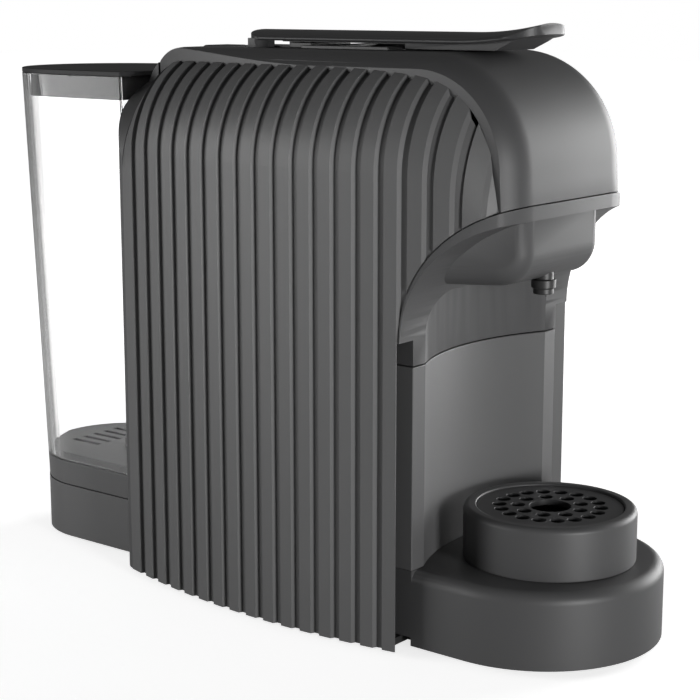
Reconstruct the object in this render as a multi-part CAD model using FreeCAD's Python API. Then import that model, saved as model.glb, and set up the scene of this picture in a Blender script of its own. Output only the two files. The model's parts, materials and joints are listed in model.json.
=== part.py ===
import FreeCAD
import Part
import math
import os

# Pod coffee machine. Millimetres, +Z up, front towards -Y, origin under the middle of the machine.

# Body outline in plan: a shallow barrel whose sides close in towards the head
HALF_WIDTH = 67.4
BARREL_RADIUS = 355.0
BARREL_Y = -30.0
PANEL_FRONT_Y = -90.5
NOSE_RADIUS = 74.0
PANEL_TIP_Y = -126.4
PANEL_REAR_Y = 67.0
REAR_WALL_Y = 76.0
REAR_CORNER_RADIUS = 12.0
PANEL_BOTTOM_Z = 3.0

# Body profile seen from the side
TOP_Z = 240.0
HEAD_ARC_RADIUS = 45.0
HEAD_FRONT_Y = -130.5
HEAD_LIP_FORWARD = 1.3
HEAD_PARTING_Z = 184.5
REAR_ARC_RADIUS = 27.0

# Ribbed side panels
RIB_PITCH = 10.0
RIB_CREST = 5.7
RIB_FLANK = 0.9
RIB_DEPTH = 1.7
PANEL_WALL = 2.9
SHOULDER_RUN = 24.8
SHOULDER_RISE = 39.0
PANEL_SEAM = 0.6
PANEL_EDGE_LIP = 0.5

# Top cover, a smooth strip with rounded sides
COVER_STEP = 2.0
COVER_FLAT_HALF = 29.0
COVER_WALL = 2.5
COVER_SIDE_RADIUS = 20.0
COVER_REAR_Y = 66.7
COVER_APRON = 10.0
COVER_EDGE_DEPTH = 6.0
COVER_EDGE_WALL = 1.6
POD_RIM_HEIGHT = 1.5
POD_RIM_SIDE = 3.0
POD_RIM_END = 8.0
VENT_COUNT = 6
VENT_Z = 120.0
VENT_PITCH = 9.0
VENT_HEIGHT = 3.0
VENT_HALF_WIDTH = 22.0

# Arch under the head
ARCH_RADIUS = 56.0
ARCH_Z = 129.5
ARCH_SEAM = 0.5
VAULT_THICKNESS = 6.9
VAULT_BACKING = 4.0

# Nose of the head shroud and the spout
NOSE_HALF_WIDTH = 27.0
NOSE_REAR_HALF_WIDTH = 46.0
NOSE_FRONT_Y = -127.2
NOSE_UNDERSIDE_Z = 150.0
NOSE_CHIN_RADIUS = 14.0
NOSE_SIDE_RADIUS = 9.0
NOSE_WALL = 2.5
NOSE_REAR_Y = -92.0
SPOUT_Y = -118.0
SPOUT_COLLAR_RADIUS = 5.0
SPOUT_TIP_RADIUS = 4.2
SPOUT_BORE_RADIUS = 2.4
SPOUT_TIP_Z = 144.0
SPOUT_COLLAR_HEIGHT = 3.5
SPOUT_STEM_RADIUS = 4.0

# Column behind the cup and its hollowed front
COLUMN_INSET = 15.0
COLUMN_FRONT_Y = -91.6
COLUMN_PARTING_Z = 118.5
COLUMN_SEAM = 0.6
COLUMN_BACK_WALL = 4.0
RECESS_SIDE_WALL = 8.2
RECESS_DEPTH = 10.6
RECESS_CORNER_RADIUS = 15.0

# Drip tray, cup stand and its grid
TRAY_FRONT_Y = -170.0
TRAY_TOP_Z = 34.7
TRAY_BOTTOM_Z = 3.0
TRAY_FLOOR_Z = 6.6
TRAY_WALL = 2.4
TRAY_EDGE_RADIUS = 5.0
TRAY_WELL_RADIUS = 32.0
STAND_Y = -123.6
STAND_RADIUS = 35.7
STAND_TOP_Z = 56.8
STAND_WALL = 2.4
STAND_EDGE_RADIUS = 2.5
STAND_SPIGOT_DEPTH = 3.5
GRID_RADIUS = 30.1
GRID_THICKNESS = 2.4
GRID_SINK = 0.8
GRID_HOLE_RADIUS = 2.9
GRID_OUTER_RING = 20.8
GRID_OUTER_COUNT = 18
GRID_INNER_RING = 13.2
GRID_INNER_COUNT = 9
GRID_CENTRE_RADIUS = 8.6

# Used-pod bin behind the column front
BIN_SIDE_GAP = 3.4
BIN_REAR_Y = 5.0
BIN_TOP_Z = 112.0
BIN_WALL = 1.8
BIN_BOTTOM_Z = 9.6

# Base plate, frame and feet
PLATE_Z = 3.0
PLATE_THICKNESS = 3.0
PLATE_TONGUE_INSET = 5.4
FIT_GAP = 0.3
BAY_GAP = 0.8
FRAME_WALL = 2.5
FRAME_REAR_Y = 8.0
DECK_Z = 121.0
DECK_THICKNESS = 3.0
DECK_REAR_Y = 66.0
FOOT_RADIUS = 8.0
FOOT_SINK = 1.0
FOOT_FRONT_X = 28.0
FOOT_FRONT_Y = -140.0
FOOT_BODY_INSET = 23.4
FOOT_BODY_Y = -10.0
FOOT_REAR_X = 20.0
FOOT_REAR_Y = 135.0
POST_RADIUS = 4.0
POST_X = 26.0
POST_Y = 58.0
BOARD_CLIP = 3.0
BOARD_CLIP_HEIGHT = 6.0
SCREW_RADIUS = 1.5
SCREW_HEAD = 1.5
SCREW_LENGTH = 12.0

# Water tank, its seat and its lid
TANK_CENTRE_Y = 126.1
TANK_FRONT_GAP = 1.5
SEAT_RADIUS = 37.5
SEAT_TOP_Z = 28.7
SEAT_WALL = 2.4
SEAT_WELL_DEPTH = 2.4
TANK_BASE_INSET = 0.2
TANK_RIM_RADIUS = 43.8
TANK_RIM_Z = 226.6
TANK_WALL = 2.2
TANK_FLOOR = 3.0
TANK_BASE_TOP_Z = 40.5
INSERT_TOP_Z = 44.5
LID_THICKNESS = 2.2
LID_SKIRT = 10.5
LID_FIT = 0.5
VALVE_Y = 112.0
VALVE_RADIUS = 7.0
VALVE_LENGTH = 12.0
SOCKET_RADIUS = 16.0
SOCKET_FLOOR_Z = 15.5
SEAL_THICKNESS = 2.0
SEAL_HEIGHT = 4.0
PIN_RADIUS = 1.5
PIN_TOP_Z = 24.0
VALVE_BORE = 5.0
VALVE_LIP_BORE = 3.4
VALVE_LIP_LENGTH = 4.0
POPPET_HEIGHT = 2.0
POPPET_STEM = 9.0
INSERT_PLATE = 2.0
INSERT_HUB = 4.0
INSERT_SLOTS = 5
INSERT_SLOT_PITCH = 7.0
INSERT_SLOT_WIDTH = 2.5
INSERT_SLOT_LENGTH = 20.0

# Lever and its crank
LEVER_HALF_WIDTH = 16.8
LEVER_CROWN = 4.5
LEVER_LIP_RADIUS = 0.9
LEVER_GAP = 3.0
LEVER_REAR_Y = 30.0
LEVER_FRONT_Y = -120.0
LEVER_BEND_Y = -84.0
LEVER_TIP_RISE = 4.0
LEVER_RIB_X = 12.0
LEVER_RIB_WIDTH = 1.6
LEVER_RIB_DROP = 0.4
GRIP_HALF_WIDTH = 14.0
GRIP_DROP = 2.4
GRIP_REAR_Y = -58.0
GRIP_FLAT_Y = -102.0
LEVER_CORNER_RADIUS = 12.0
PIVOT_Y = 20.0
PIVOT_Z = 232.0
PIVOT_RADIUS = 2.5
RUNNING_FIT = 0.05
KNUCKLE_RADIUS = 6.0
KNUCKLE_INNER_X = 12.0
KNUCKLE_WIDTH = 4.0
CRANK_RADIUS = 26.0
CRANK_SWING = 35.0
CRANK_ARM_RADIUS = 4.5
DRIVE_PIN_RADIUS = 2.0
LEVER_SLOT_FRONT_Y = 8.0
LEVER_SLOT_REAR_Y = 39.0
LEVER_SLOT_SIDE_GAP = 0.9
LEVER_REST_Y = -2.0
LEVER_REST_LENGTH = 12.0
LEVER_REST_HALF_WIDTH = 13.5
BRACKET_THICKNESS = 3.0
BRACKET_REACH = 5.5

# Brewing group
BREW_Z = 186.0
INJECTOR_FACE_Y = -18.0
INJECTOR_RADIUS = 19.0
POD_RADIUS = 18.6
POD_DEPTH = 27.0
CUP_WALL = 2.6
CUP_FACE_GAP = 0.5
YOKE_INNER_X = 22.6
YOKE_THICKNESS = 3.0
YOKE_CLEARANCE = 0.55
YOKE_REACH = 6.0
BEAM_HEIGHT = 10.0
RAIL_X = 30.0
RAIL_RADIUS = 3.0
BUSH_RADIUS = 5.0
BREW_PLATE_THICKNESS = 8.0
BREW_CHEEK_X = 36.0
BREW_CHEEK_THICKNESS = 2.5
RAIL_FRONT_Y = -94.0
SLOT_HALF_WIDTH = 20.0
SLOT_WALL = 1.6
SLOT_REACH = 27.0
YOKE_DROP = 5.5
OUTLET_RADIUS = 3.6
INJECTOR_STEP = 6.0
INJECTOR_STEM_RADIUS = 6.0
RAIL_PLATE_Z = 152.0
RAIL_PLATE = 3.0
NEEDLE_COUNT = 3
NEEDLE_RING = 11.0
NEEDLE_RADIUS = 1.2
NEEDLE_LENGTH = 4.0
FUNNEL_CLEAR = 4.0
FUNNEL_WALL = 1.6
FUNNEL_HALF_WIDTH = 11.0
FUNNEL_RISE = 2.5
FUNNEL_SLOPE = 0.01
FUNNEL_DEPTH = 5.0

# Brew button at the back of the top
BUTTON_Y = 54.0
BUTTON_LENGTH = 13.0
BUTTON_HALF_WIDTH = 8.0
BUTTON_TOP_Z = 240.2
BUTTON_TRAVEL = 2.0
BUTTON_GAP = 0.4
BUTTON_STEM_RADIUS = 2.5
GUIDE_WALL = 1.6
SWITCH_HEIGHT = 6.0
SWITCH_TOP_Z = 219.0
SPRING_RADIUS = 4.6
SPRING_WIRE_RADIUS = 0.4
SPRING_TURNS = 4
BUTTON_DEPTH = 12.0
BUTTON_EDGE_RADIUS = 1.2

# Pump, heater and hoses
PUMP_Y = 38.0
PUMP_AXIS_Z = 41.0
PUMP_HALF_WIDTH = 20.0
PUMP_COIL_LENGTH = 30.0
PUMP_BODY_RADIUS = 13.0
PUMP_LENGTH = 48.0
HEATER_FRONT_Y = 10.0
HEATER_REAR_Y = 60.0
HEATER_HALF_WIDTH = 26.0
HEATER_BOTTOM_Z = 127.0
HEATER_TOP_Z = 196.0
HOSE_RADIUS = 3.5
HOSE_BORE = 2.0
METER_INSET = 27.4
METER_Y = 41.0
METER_RADIUS = 11.0
METER_HEIGHT = 18.0
BOARD_INSET = 24.4
BOARD_THICKNESS = 1.6
BOARD_FRONT_Y = 12.0
BOARD_REAR_Y = 58.0
BOARD_TOP_Z = 88.0
GLAND_OFFSET = 6.5
GLAND_Z = 16.0
GLAND_RADIUS = 4.5
GLAND_BORE = 2.6
HOSE_Z = 14.0
RISER_Y = 56.0
PORT_RADIUS = 4.5
INTAKE_Y = 18.5
BARB_LENGTH = 6.0
MOUNT_INSET = 2.0
MOUNT_SPACING = 9.0
MOUNT_LENGTH = 9.0
HEATER_FINS = 6
FIN_DEPTH = 3.0
LEG_RADIUS = 4.0
THERMOSTAT_RADIUS = 6.0
THERMOSTAT_HEIGHT = 4.5
THERMOSTAT_Y = 52.0
METER_STEP = 2.0
HOSE_BEND = 8.0
HOSE_RUN_Y = 66.5
RELAY_DEPTH = 12.0
RELAY_LENGTH = 16.0
GLAND_FLANGE = 1.5

# Values worked out from the sizes above
COLUMN_HALF_WIDTH = HALF_WIDTH - COLUMN_INSET
RECESS_HALF_WIDTH = COLUMN_HALF_WIDTH - RECESS_SIDE_WALL
BIN_HALF_WIDTH = COLUMN_HALF_WIDTH - BIN_SIDE_GAP
PLATE_TONGUE_HALF_WIDTH = COLUMN_HALF_WIDTH - PLATE_TONGUE_INSET
FOOT_BODY_X = HALF_WIDTH - FOOT_BODY_INSET
BOARD_X = HALF_WIDTH - BOARD_INSET
METER_X = METER_INSET - HALF_WIDTH
GLAND_X = SEAT_RADIUS + GLAND_OFFSET
COVER_BOTTOM_Z = HEAD_PARTING_Z - COVER_APRON
LEVER_BOTTOM_Z = TOP_Z + LEVER_GAP
LEVER_RIB_Z = LEVER_BOTTOM_Z - LEVER_RIB_DROP
GRIP_BOTTOM_Z = LEVER_BOTTOM_Z - GRIP_DROP
HEAD_ARC_Y = HEAD_FRONT_Y + HEAD_ARC_RADIUS
HEAD_ARC_Z = TOP_Z - HEAD_ARC_RADIUS
REAR_ARC_Y = REAR_WALL_Y - REAR_ARC_RADIUS
REAR_ARC_Z = TOP_Z - REAR_ARC_RADIUS
ARCH_Y = PANEL_FRONT_Y - ARCH_RADIUS
VAULT_RADIUS = ARCH_RADIUS - ARCH_SEAM - VAULT_THICKNESS
VAULT_Y = COLUMN_FRONT_Y - VAULT_RADIUS
PANEL_THICKNESS = RIB_DEPTH + PANEL_WALL
TRAY_ARC_Y = TRAY_FRONT_Y + COLUMN_HALF_WIDTH
COLUMN_REAR_Y = COLUMN_FRONT_Y + RECESS_DEPTH + COLUMN_BACK_WALL
PLATE_TOP_Z = PLATE_Z + PLATE_THICKNESS
DECK_TOP_Z = DECK_Z + DECK_THICKNESS
BAY_HALF_WIDTH = COLUMN_HALF_WIDTH + BAY_GAP
TANK_FRONT_Y = REAR_WALL_Y + TANK_FRONT_GAP
TANK_BOTTOM_Z = SEAT_TOP_Z + FIT_GAP
TANK_BASE_RADIUS = SEAT_RADIUS - TANK_BASE_INSET
LEVER_SLOT_HALF_WIDTH = LEVER_HALF_WIDTH + LEVER_SLOT_SIDE_GAP
CARRIAGE_TRAVEL = 2.0 * CRANK_RADIUS * math.sin(math.radians(CRANK_SWING))
DRIVE_PIN_Y = PIVOT_Y + CRANK_RADIUS * math.sin(math.radians(CRANK_SWING))
DRIVE_PIN_Z = PIVOT_Z - CRANK_RADIUS * math.cos(math.radians(CRANK_SWING))
YOKE_OUTER_X = YOKE_INNER_X + YOKE_THICKNESS


def flat(z):
    """Plan: takes x, y to a point at height z."""
    return lambda x, y: FreeCAD.Vector(x, y, z)


def side(x):
    """Side view: takes y, z to a point at x."""
    return lambda y, z: FreeCAD.Vector(x, y, z)


def front(y):
    """Front view: takes x, z to a point at y."""
    return lambda x, z: FreeCAD.Vector(x, y, z)


def outline(place, start, *steps):
    """Closed wire: a step is a point for a straight run, or a middle and an end for an arc."""
    edges = []
    here = start
    for step in steps + (start,):
        arc = isinstance(step[0], tuple)
        end = step[1] if arc else step
        if arc:
            edges.append(Part.Arc(place(*here), place(*step[0]), place(*end)).toShape())
        elif place(*here).distanceToPoint(place(*end)) > 1e-6:
            edges.append(Part.LineSegment(place(*here), place(*end)).toShape())
        here = end
    return Part.Wire(edges)


def plan_prism(z0, z1, start, *steps):
    """Solid of a plan outline between two heights."""
    return Part.Face(outline(flat(z0), start, *steps)).extrude(FreeCAD.Vector(0, 0, z1 - z0))


def side_prism(x0, x1, start, *steps):
    """Solid of a side-view outline between two x."""
    return Part.Face(outline(side(x0), start, *steps)).extrude(FreeCAD.Vector(x1 - x0, 0, 0))


def front_prism(y0, y1, start, *steps):
    """Solid of a front-view outline between two y."""
    return Part.Face(outline(front(y0), start, *steps)).extrude(FreeCAD.Vector(0, y1 - y0, 0))


def block(x0, x1, y0, y1, z0, z1):
    """Box between two corners."""
    return Part.makeBox(x1 - x0, y1 - y0, z1 - z0, FreeCAD.Vector(x0, y0, z0))


def rod(radius, start, end):
    """Round bar from one point to another."""
    base = FreeCAD.Vector(*start)
    run = FreeCAD.Vector(*end) - base
    return Part.makeCylinder(radius, run.Length, base, run)


def tube(radius, bore, start, end):
    """Round bar with a bore."""
    return rod(radius, start, end).cut(rod(bore, start, end))


def mirrored(shape):
    """The same shape on the other side of the machine."""
    return shape.mirror(FreeCAD.Vector(0, 0, 0), FreeCAD.Vector(1, 0, 0))


def both_sides(shape):
    """A shape and its mirror image, as one."""
    return shape.fuse(mirrored(shape))


def group(shapes):
    """Separate solids that share one node."""
    return Part.makeCompound(shapes)


def save(name, shape):
    """Writes one piece."""
    shape.exportStep("parts/" + name + ".step")


def arc_rise(radius, run):
    """Height of a circle above its centre, at a distance from the centre."""
    return math.sqrt(max(radius * radius - run * run, 0.0))


def half_width(y):
    """Half width of the body over the rib crests."""
    barrel_x = HALF_WIDTH - BARREL_RADIUS
    if y >= PANEL_FRONT_Y:
        return barrel_x + arc_rise(BARREL_RADIUS, y - BARREL_Y)
    joint_x = arc_rise(BARREL_RADIUS, PANEL_FRONT_Y - BARREL_Y)
    scale = NOSE_RADIUS / BARREL_RADIUS
    nose_x = barrel_x + joint_x - joint_x * scale
    nose_y = PANEL_FRONT_Y - (PANEL_FRONT_Y - BARREL_Y) * scale
    return nose_x + arc_rise(NOSE_RADIUS, y - nose_y)


COVER_HALF_WIDTH = half_width(PANEL_TIP_Y) - COVER_STEP
COVER_DROP = COVER_SIDE_RADIUS - arc_rise(COVER_SIDE_RADIUS, COVER_HALF_WIDTH - COVER_FLAT_HALF)


def cover_edge_x(y):
    """Half width of the top cover."""
    return min(COVER_HALF_WIDTH, half_width(max(y, PANEL_FRONT_Y)) - SHOULDER_RUN)


def cover_edge_z(y, drop):
    """Height of the body's profile at y, sunk by drop square to the profile."""
    if y < HEAD_ARC_Y:
        return HEAD_ARC_Z + arc_rise(HEAD_ARC_RADIUS - drop, y - HEAD_ARC_Y)
    if y > REAR_ARC_Y:
        return REAR_ARC_Z + arc_rise(REAR_ARC_RADIUS - drop, y - REAR_ARC_Y)
    return TOP_Z - drop


def shoulder_path(y):
    """Shoulder of the rib crest at y: foot x, foot height, radius and end angle from level."""
    foot_x = half_width(y)
    end_x = cover_edge_x(y) + PANEL_SEAM
    foot_z = cover_edge_z(y, COVER_DROP) - SHOULDER_RISE
    run = foot_x - end_x
    radius = (run * run + SHOULDER_RISE * SHOULDER_RISE) / (2.0 * run)
    return foot_x, foot_z, radius, math.asin(SHOULDER_RISE / radius)


def shoulder_point(y, inset, share):
    """Point of the shoulder at a share of its arc, set in square to the surface."""
    foot_x, foot_z, radius, angle = shoulder_path(y)
    reach = radius - inset
    x = foot_x - radius + reach * math.cos(angle * share)
    return x, foot_z + reach * math.sin(angle * share)


def panel_section(y, inset):
    """Closed section of a side panel at y, with its outer face set in from the crest."""
    foot_x = half_width(y)
    inner = PANEL_THICKNESS
    return outline(
        front(y),
        (-(foot_x - inset), PANEL_BOTTOM_Z),
        (-(foot_x - inset), shoulder_path(y)[1]),
        (mirror_point(shoulder_point(y, inset, 0.5)), mirror_point(shoulder_point(y, inset, 1.0))),
        mirror_point(shoulder_point(y, inner, 1.0)),
        (mirror_point(shoulder_point(y, inner, 0.5)), (-(foot_x - inner), shoulder_path(y)[1])),
        (-(foot_x - inner), PANEL_BOTTOM_Z),
    )


def mirror_point(point):
    """A front-view point on the left side."""
    return (-point[0], point[1])


def rib_stations():
    """Stations of the ribbed surface from front to rear: y and inset, four to a rib."""
    stations = [(PANEL_TIP_Y, 0.0)]
    first = math.ceil((PANEL_TIP_Y - PANEL_FRONT_Y) / RIB_PITCH) - 1
    last = math.floor((PANEL_REAR_Y - PANEL_FRONT_Y) / RIB_PITCH)
    for rib in range(first, last + 1):
        crest_y = PANEL_FRONT_Y + rib * RIB_PITCH
        foot_y = crest_y + RIB_CREST + RIB_FLANK
        for y, inset in (
            (crest_y, 0.0),
            (crest_y + RIB_CREST, 0.0),
            (foot_y, RIB_DEPTH),
            (crest_y + RIB_PITCH - RIB_FLANK, RIB_DEPTH),
        ):
            if PANEL_TIP_Y + RIB_FLANK < y < PANEL_REAR_Y - RIB_FLANK:
                stations.append((y, inset))
    stations.append((PANEL_REAR_Y, stations[-1][1]))
    return stations


def arch_cylinder(radius, half_length):
    """Round bar across the machine, on the axis of the arch under the head."""
    return rod(radius, (-half_length, ARCH_Y, ARCH_Z), (half_length, ARCH_Y, ARCH_Z))


def side_panel():
    """Left ribbed panel: wall, rounded shoulder, bevelled front edge and the arch cut under the head."""
    wires = [panel_section(y, inset) for y, inset in rib_stations()]
    shell = Part.makeLoft(wires, True, True)
    reach = HALF_WIDTH + PANEL_THICKNESS
    below = block(-reach, reach, PANEL_TIP_Y - RIB_PITCH, PANEL_FRONT_Y, 0.0, ARCH_Z)
    bay = arch_cylinder(ARCH_RADIUS, reach).fuse(below)
    edge_x = half_width(PANEL_FRONT_Y) - PANEL_EDGE_LIP
    inner_x = edge_x - PANEL_THICKNESS
    bevel = plan_prism(
        0.0, ARCH_Z,
        (-edge_x, PANEL_FRONT_Y),
        (-inner_x, PANEL_FRONT_Y),
        (-inner_x, PANEL_FRONT_Y + PANEL_THICKNESS),
    )
    return shell.cut(bay).cut(bevel).cut(cover_plan(0.0))


def cover_profile(inset):
    """Side-view outline of the body's top from the head's front to the rear wall, set in."""
    front_y = HEAD_FRONT_Y + inset
    rear_y = REAR_WALL_Y - inset
    top_z = TOP_Z - inset
    head = HEAD_ARC_RADIUS - inset
    rear = REAR_ARC_RADIUS - inset
    slant = math.sqrt(0.5)
    return (
        (front_y - HEAD_LIP_FORWARD, COVER_BOTTOM_Z),
        (front_y, HEAD_ARC_Z),
        ((HEAD_ARC_Y - head * slant, HEAD_ARC_Z + head * slant), (HEAD_ARC_Y, top_z)),
        (REAR_ARC_Y, top_z),
        ((REAR_ARC_Y + rear * slant, REAR_ARC_Z + rear * slant), (rear_y, REAR_ARC_Z)),
        (rear_y, COVER_BOTTOM_Z),
    )


def cover_block(inset):
    """Solid under the top cover's surface, with its long side edges rounded."""
    half = COVER_FLAT_HALF + COVER_SIDE_RADIUS - inset
    solid = side_prism(-half, half, *cover_profile(inset))
    bottom = COVER_BOTTOM_Z + 1.0
    edges = []
    for edge in solid.Edges:
        middle = edge.CenterOfMass
        rear_face = middle.y > REAR_WALL_Y - inset - 0.1
        if abs(abs(middle.x) - half) < 0.01 and middle.z > bottom and not rear_face:
            edges.append(edge)
    return solid.makeFillet(COVER_SIDE_RADIUS - inset, edges)


def cover_plan(inset):
    """Plan of the top cover, its sides set in: straight over the head, then following the barrel."""
    taper_y = BARREL_Y + arc_rise(
        BARREL_RADIUS, BARREL_RADIUS - HALF_WIDTH + COVER_HALF_WIDTH + SHOULDER_RUN)
    middle_y = 0.5 * (taper_y + COVER_REAR_Y)
    edge = COVER_HALF_WIDTH - inset
    middle_x = cover_edge_x(middle_y) - inset
    rear_x = cover_edge_x(COVER_REAR_Y) - inset
    front_y = HEAD_FRONT_Y - 2.0 * HEAD_LIP_FORWARD
    return plan_prism(
        COVER_BOTTOM_Z, TOP_Z + COVER_WALL,
        (-edge, front_y),
        (edge, front_y),
        (edge, taper_y),
        ((middle_x, middle_y), (rear_x, COVER_REAR_Y)),
        (-rear_x, COVER_REAR_Y),
        ((-middle_x, middle_y), (-edge, taper_y)),
    )


def button_box(gap, z0, z1):
    """Upright block round the button, wider by a gap."""
    half = BUTTON_HALF_WIDTH + gap
    reach = 0.5 * BUTTON_LENGTH + gap
    return block(-half, half, BUTTON_Y - reach, BUTTON_Y + reach, z0, z1)


def pod_slot_box(side, end, z0, z1):
    """Upright block over the path of the pod, wider and longer by two margins."""
    half = SLOT_HALF_WIDTH + side
    front_y = INJECTOR_FACE_Y - CARRIAGE_TRAVEL - CUP_FACE_GAP - end
    return block(-half, half, front_y, INJECTOR_FACE_Y + end, z0, z1)


def top_cover():
    """Smooth strip over the head and the top, with the lever, pod and button openings."""
    outer = cover_block(0.0)
    plan = cover_plan(0.0)
    shell = outer.cut(cover_block(COVER_WALL)).common(plan)
    under = side_prism(-HALF_WIDTH, HALF_WIDTH, *cover_profile(COVER_DROP + COVER_EDGE_DEPTH))
    behind = block(
        -HALF_WIDTH, HALF_WIDTH, HEAD_FRONT_Y + COVER_SIDE_RADIUS, COVER_REAR_Y, COVER_BOTTOM_Z, TOP_Z)
    edge = outer.common(plan.cut(cover_plan(COVER_EDGE_WALL))).common(behind).cut(under)
    shell = shell.fuse(edge).cut(arch_cylinder(ARCH_RADIUS, HALF_WIDTH))
    guide = button_box(BUTTON_GAP + GUIDE_WALL, SWITCH_TOP_Z - SWITCH_HEIGHT, TOP_Z).common(outer)
    shell = shell.fuse(guide)
    lever_slot = block(
        -LEVER_SLOT_HALF_WIDTH, LEVER_SLOT_HALF_WIDTH,
        LEVER_SLOT_FRONT_Y, LEVER_SLOT_REAR_Y, REAR_ARC_Z, TOP_Z + COVER_WALL)
    pod_slot = pod_slot_box(0.0, 0.0, REAR_ARC_Z, TOP_Z + COVER_WALL)
    button = button_box(BUTTON_GAP, REAR_ARC_Z, TOP_Z + COVER_WALL)
    return shell.cut(lever_slot.fuse(pod_slot).fuse(button))


def pod_bezel():
    """Raised frame on the cover round the pod opening."""
    top_z = TOP_Z + POD_RIM_HEIGHT
    rim = pod_slot_box(POD_RIM_SIDE, POD_RIM_END, TOP_Z, top_z)
    return rim.cut(pod_slot_box(0.0, 0.0, TOP_Z, top_z))


def rear_section(inset):
    """Front-view outline of the body's back end: the last panel section and the cover above it."""
    y = PANEL_REAR_Y
    wall_x = half_width(y) - inset
    foot_z = shoulder_path(y)[1]
    end = shoulder_point(y, inset, 1.0)
    middle = shoulder_point(y, inset, 0.5)
    bottom_z = PANEL_BOTTOM_Z - inset
    top_z = TOP_Z
    return front_prism(
        PANEL_REAR_Y - REAR_ARC_RADIUS, REAR_WALL_Y,
        (-wall_x, bottom_z),
        (-wall_x, foot_z),
        (mirror_point(middle), mirror_point(end)),
        (-end[0], top_z),
        (end[0], top_z),
        end,
        (middle, (wall_x, foot_z)),
        (wall_x, bottom_z),
    )


def rear_solid(inset):
    """Back end of the body, solid, with round corners."""
    wall_x = half_width(PANEL_REAR_Y) - inset
    rear_y = REAR_WALL_Y - inset
    corner = REAR_CORNER_RADIUS - inset
    side_y = min(rear_y - corner, PANEL_REAR_Y)
    slant = corner * (1.0 - math.sqrt(0.5))
    plan = plan_prism(
        PANEL_BOTTOM_Z - inset, TOP_Z,
        (-wall_x, side_y - PANEL_THICKNESS),
        (wall_x, side_y - PANEL_THICKNESS),
        (wall_x, rear_y - corner),
        ((wall_x - slant, rear_y - slant), (wall_x - corner, rear_y)),
        (-(wall_x - corner), rear_y),
        ((-(wall_x - slant), rear_y - slant), (-wall_x, rear_y - corner)),
    )
    profile = cover_profile(inset)
    tall = side_prism(-HALF_WIDTH, HALF_WIDTH, *(
        ((profile[0][0], PANEL_BOTTOM_Z - inset),) + profile[1:-1]
        + ((REAR_WALL_Y - inset, PANEL_BOTTOM_Z - inset),)))
    return plan.common(tall).common(rear_section(inset))


def rear_cover():
    """Back shell with vent slots, a hose hole and the cord gland's hole."""
    shell = rear_solid(0.0).cut(rear_solid(COVER_WALL))
    ahead = block(
        -HALF_WIDTH, HALF_WIDTH, HEAD_FRONT_Y, PANEL_REAR_Y + FIT_GAP, PANEL_BOTTOM_Z - COVER_WALL, TOP_Z)
    shell = shell.cut(ahead)
    for row in range(VENT_COUNT):
        z = VENT_Z + row * VENT_PITCH
        shell = shell.cut(block(
            -VENT_HALF_WIDTH, VENT_HALF_WIDTH, REAR_WALL_Y - 2.0 * COVER_WALL, REAR_WALL_Y + COVER_WALL,
            z, z + VENT_HEIGHT))
    hose = rod(HOSE_RADIUS + FIT_GAP, (0, PANEL_REAR_Y, HOSE_Z), (0, REAR_WALL_Y + COVER_WALL, HOSE_Z))
    gland = rod(GLAND_RADIUS, (GLAND_X, PANEL_REAR_Y, GLAND_Z), (GLAND_X, REAR_WALL_Y + COVER_WALL, GLAND_Z))
    return shell.cut(hose.fuse(gland)).cut(tail_notch())


def tail_notch():
    """Space for the base plate's tail where it passes under the rear wall and the seat."""
    half = SEAT_RADIUS - SEAT_WALL
    return block(
        -half, half, PANEL_REAR_Y, REAR_WALL_Y + 2.0 * SEAT_WALL, 0.0, PLATE_TOP_Z + FIT_GAP)


def shroud_plan(z0, z1):
    """Plan of the head's underside, level with the panels and the head's front."""
    inset = PANEL_SEAM
    front_y = HEAD_FRONT_Y - HEAD_LIP_FORWARD + inset
    side_x = half_width(PANEL_TIP_Y) - inset
    middle_y = 0.5 * (PANEL_TIP_Y + COLUMN_FRONT_Y)
    middle_x = half_width(middle_y) - inset
    rear_x = half_width(COLUMN_FRONT_Y) - inset
    corner = (0.5 * (side_x + COVER_FLAT_HALF) + inset, 0.5 * (front_y + PANEL_TIP_Y) - inset)
    return plan_prism(
        z0, z1,
        (-COVER_FLAT_HALF, front_y),
        (COVER_FLAT_HALF, front_y),
        (corner, (side_x, PANEL_TIP_Y)),
        ((middle_x, middle_y), (rear_x, COLUMN_FRONT_Y)),
        (rear_x, COLUMN_REAR_Y),
        (-rear_x, COLUMN_REAR_Y),
        (-rear_x, COLUMN_FRONT_Y),
        ((-middle_x, middle_y), (-side_x, PANEL_TIP_Y)),
        ((-corner[0], corner[1]), (-COVER_FLAT_HALF, front_y)),
    )


def recess_tool(top_z):
    """Upright hollow in the column's front, rounded in plan and at its top corners."""
    radius = (RECESS_HALF_WIDTH ** 2 + RECESS_DEPTH ** 2) / (2.0 * RECESS_DEPTH)
    centre_y = COLUMN_FRONT_Y + RECESS_DEPTH - radius
    scoop = rod(radius, (0, centre_y, 0), (0, centre_y, top_z))
    half = RECESS_HALF_WIDTH
    corner = RECESS_CORNER_RADIUS
    slant = corner * (1.0 - math.sqrt(0.5))
    window = front_prism(
        HEAD_FRONT_Y, COLUMN_REAR_Y,
        (-half, 0.0),
        (half, 0.0),
        (half, top_z - corner),
        ((half - slant, top_z - slant), (half - corner, top_z)),
        (-(half - corner), top_z),
        ((-(half - slant), top_z - slant), (-half, top_z - corner)),
    )
    return scoop.common(window)


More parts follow.
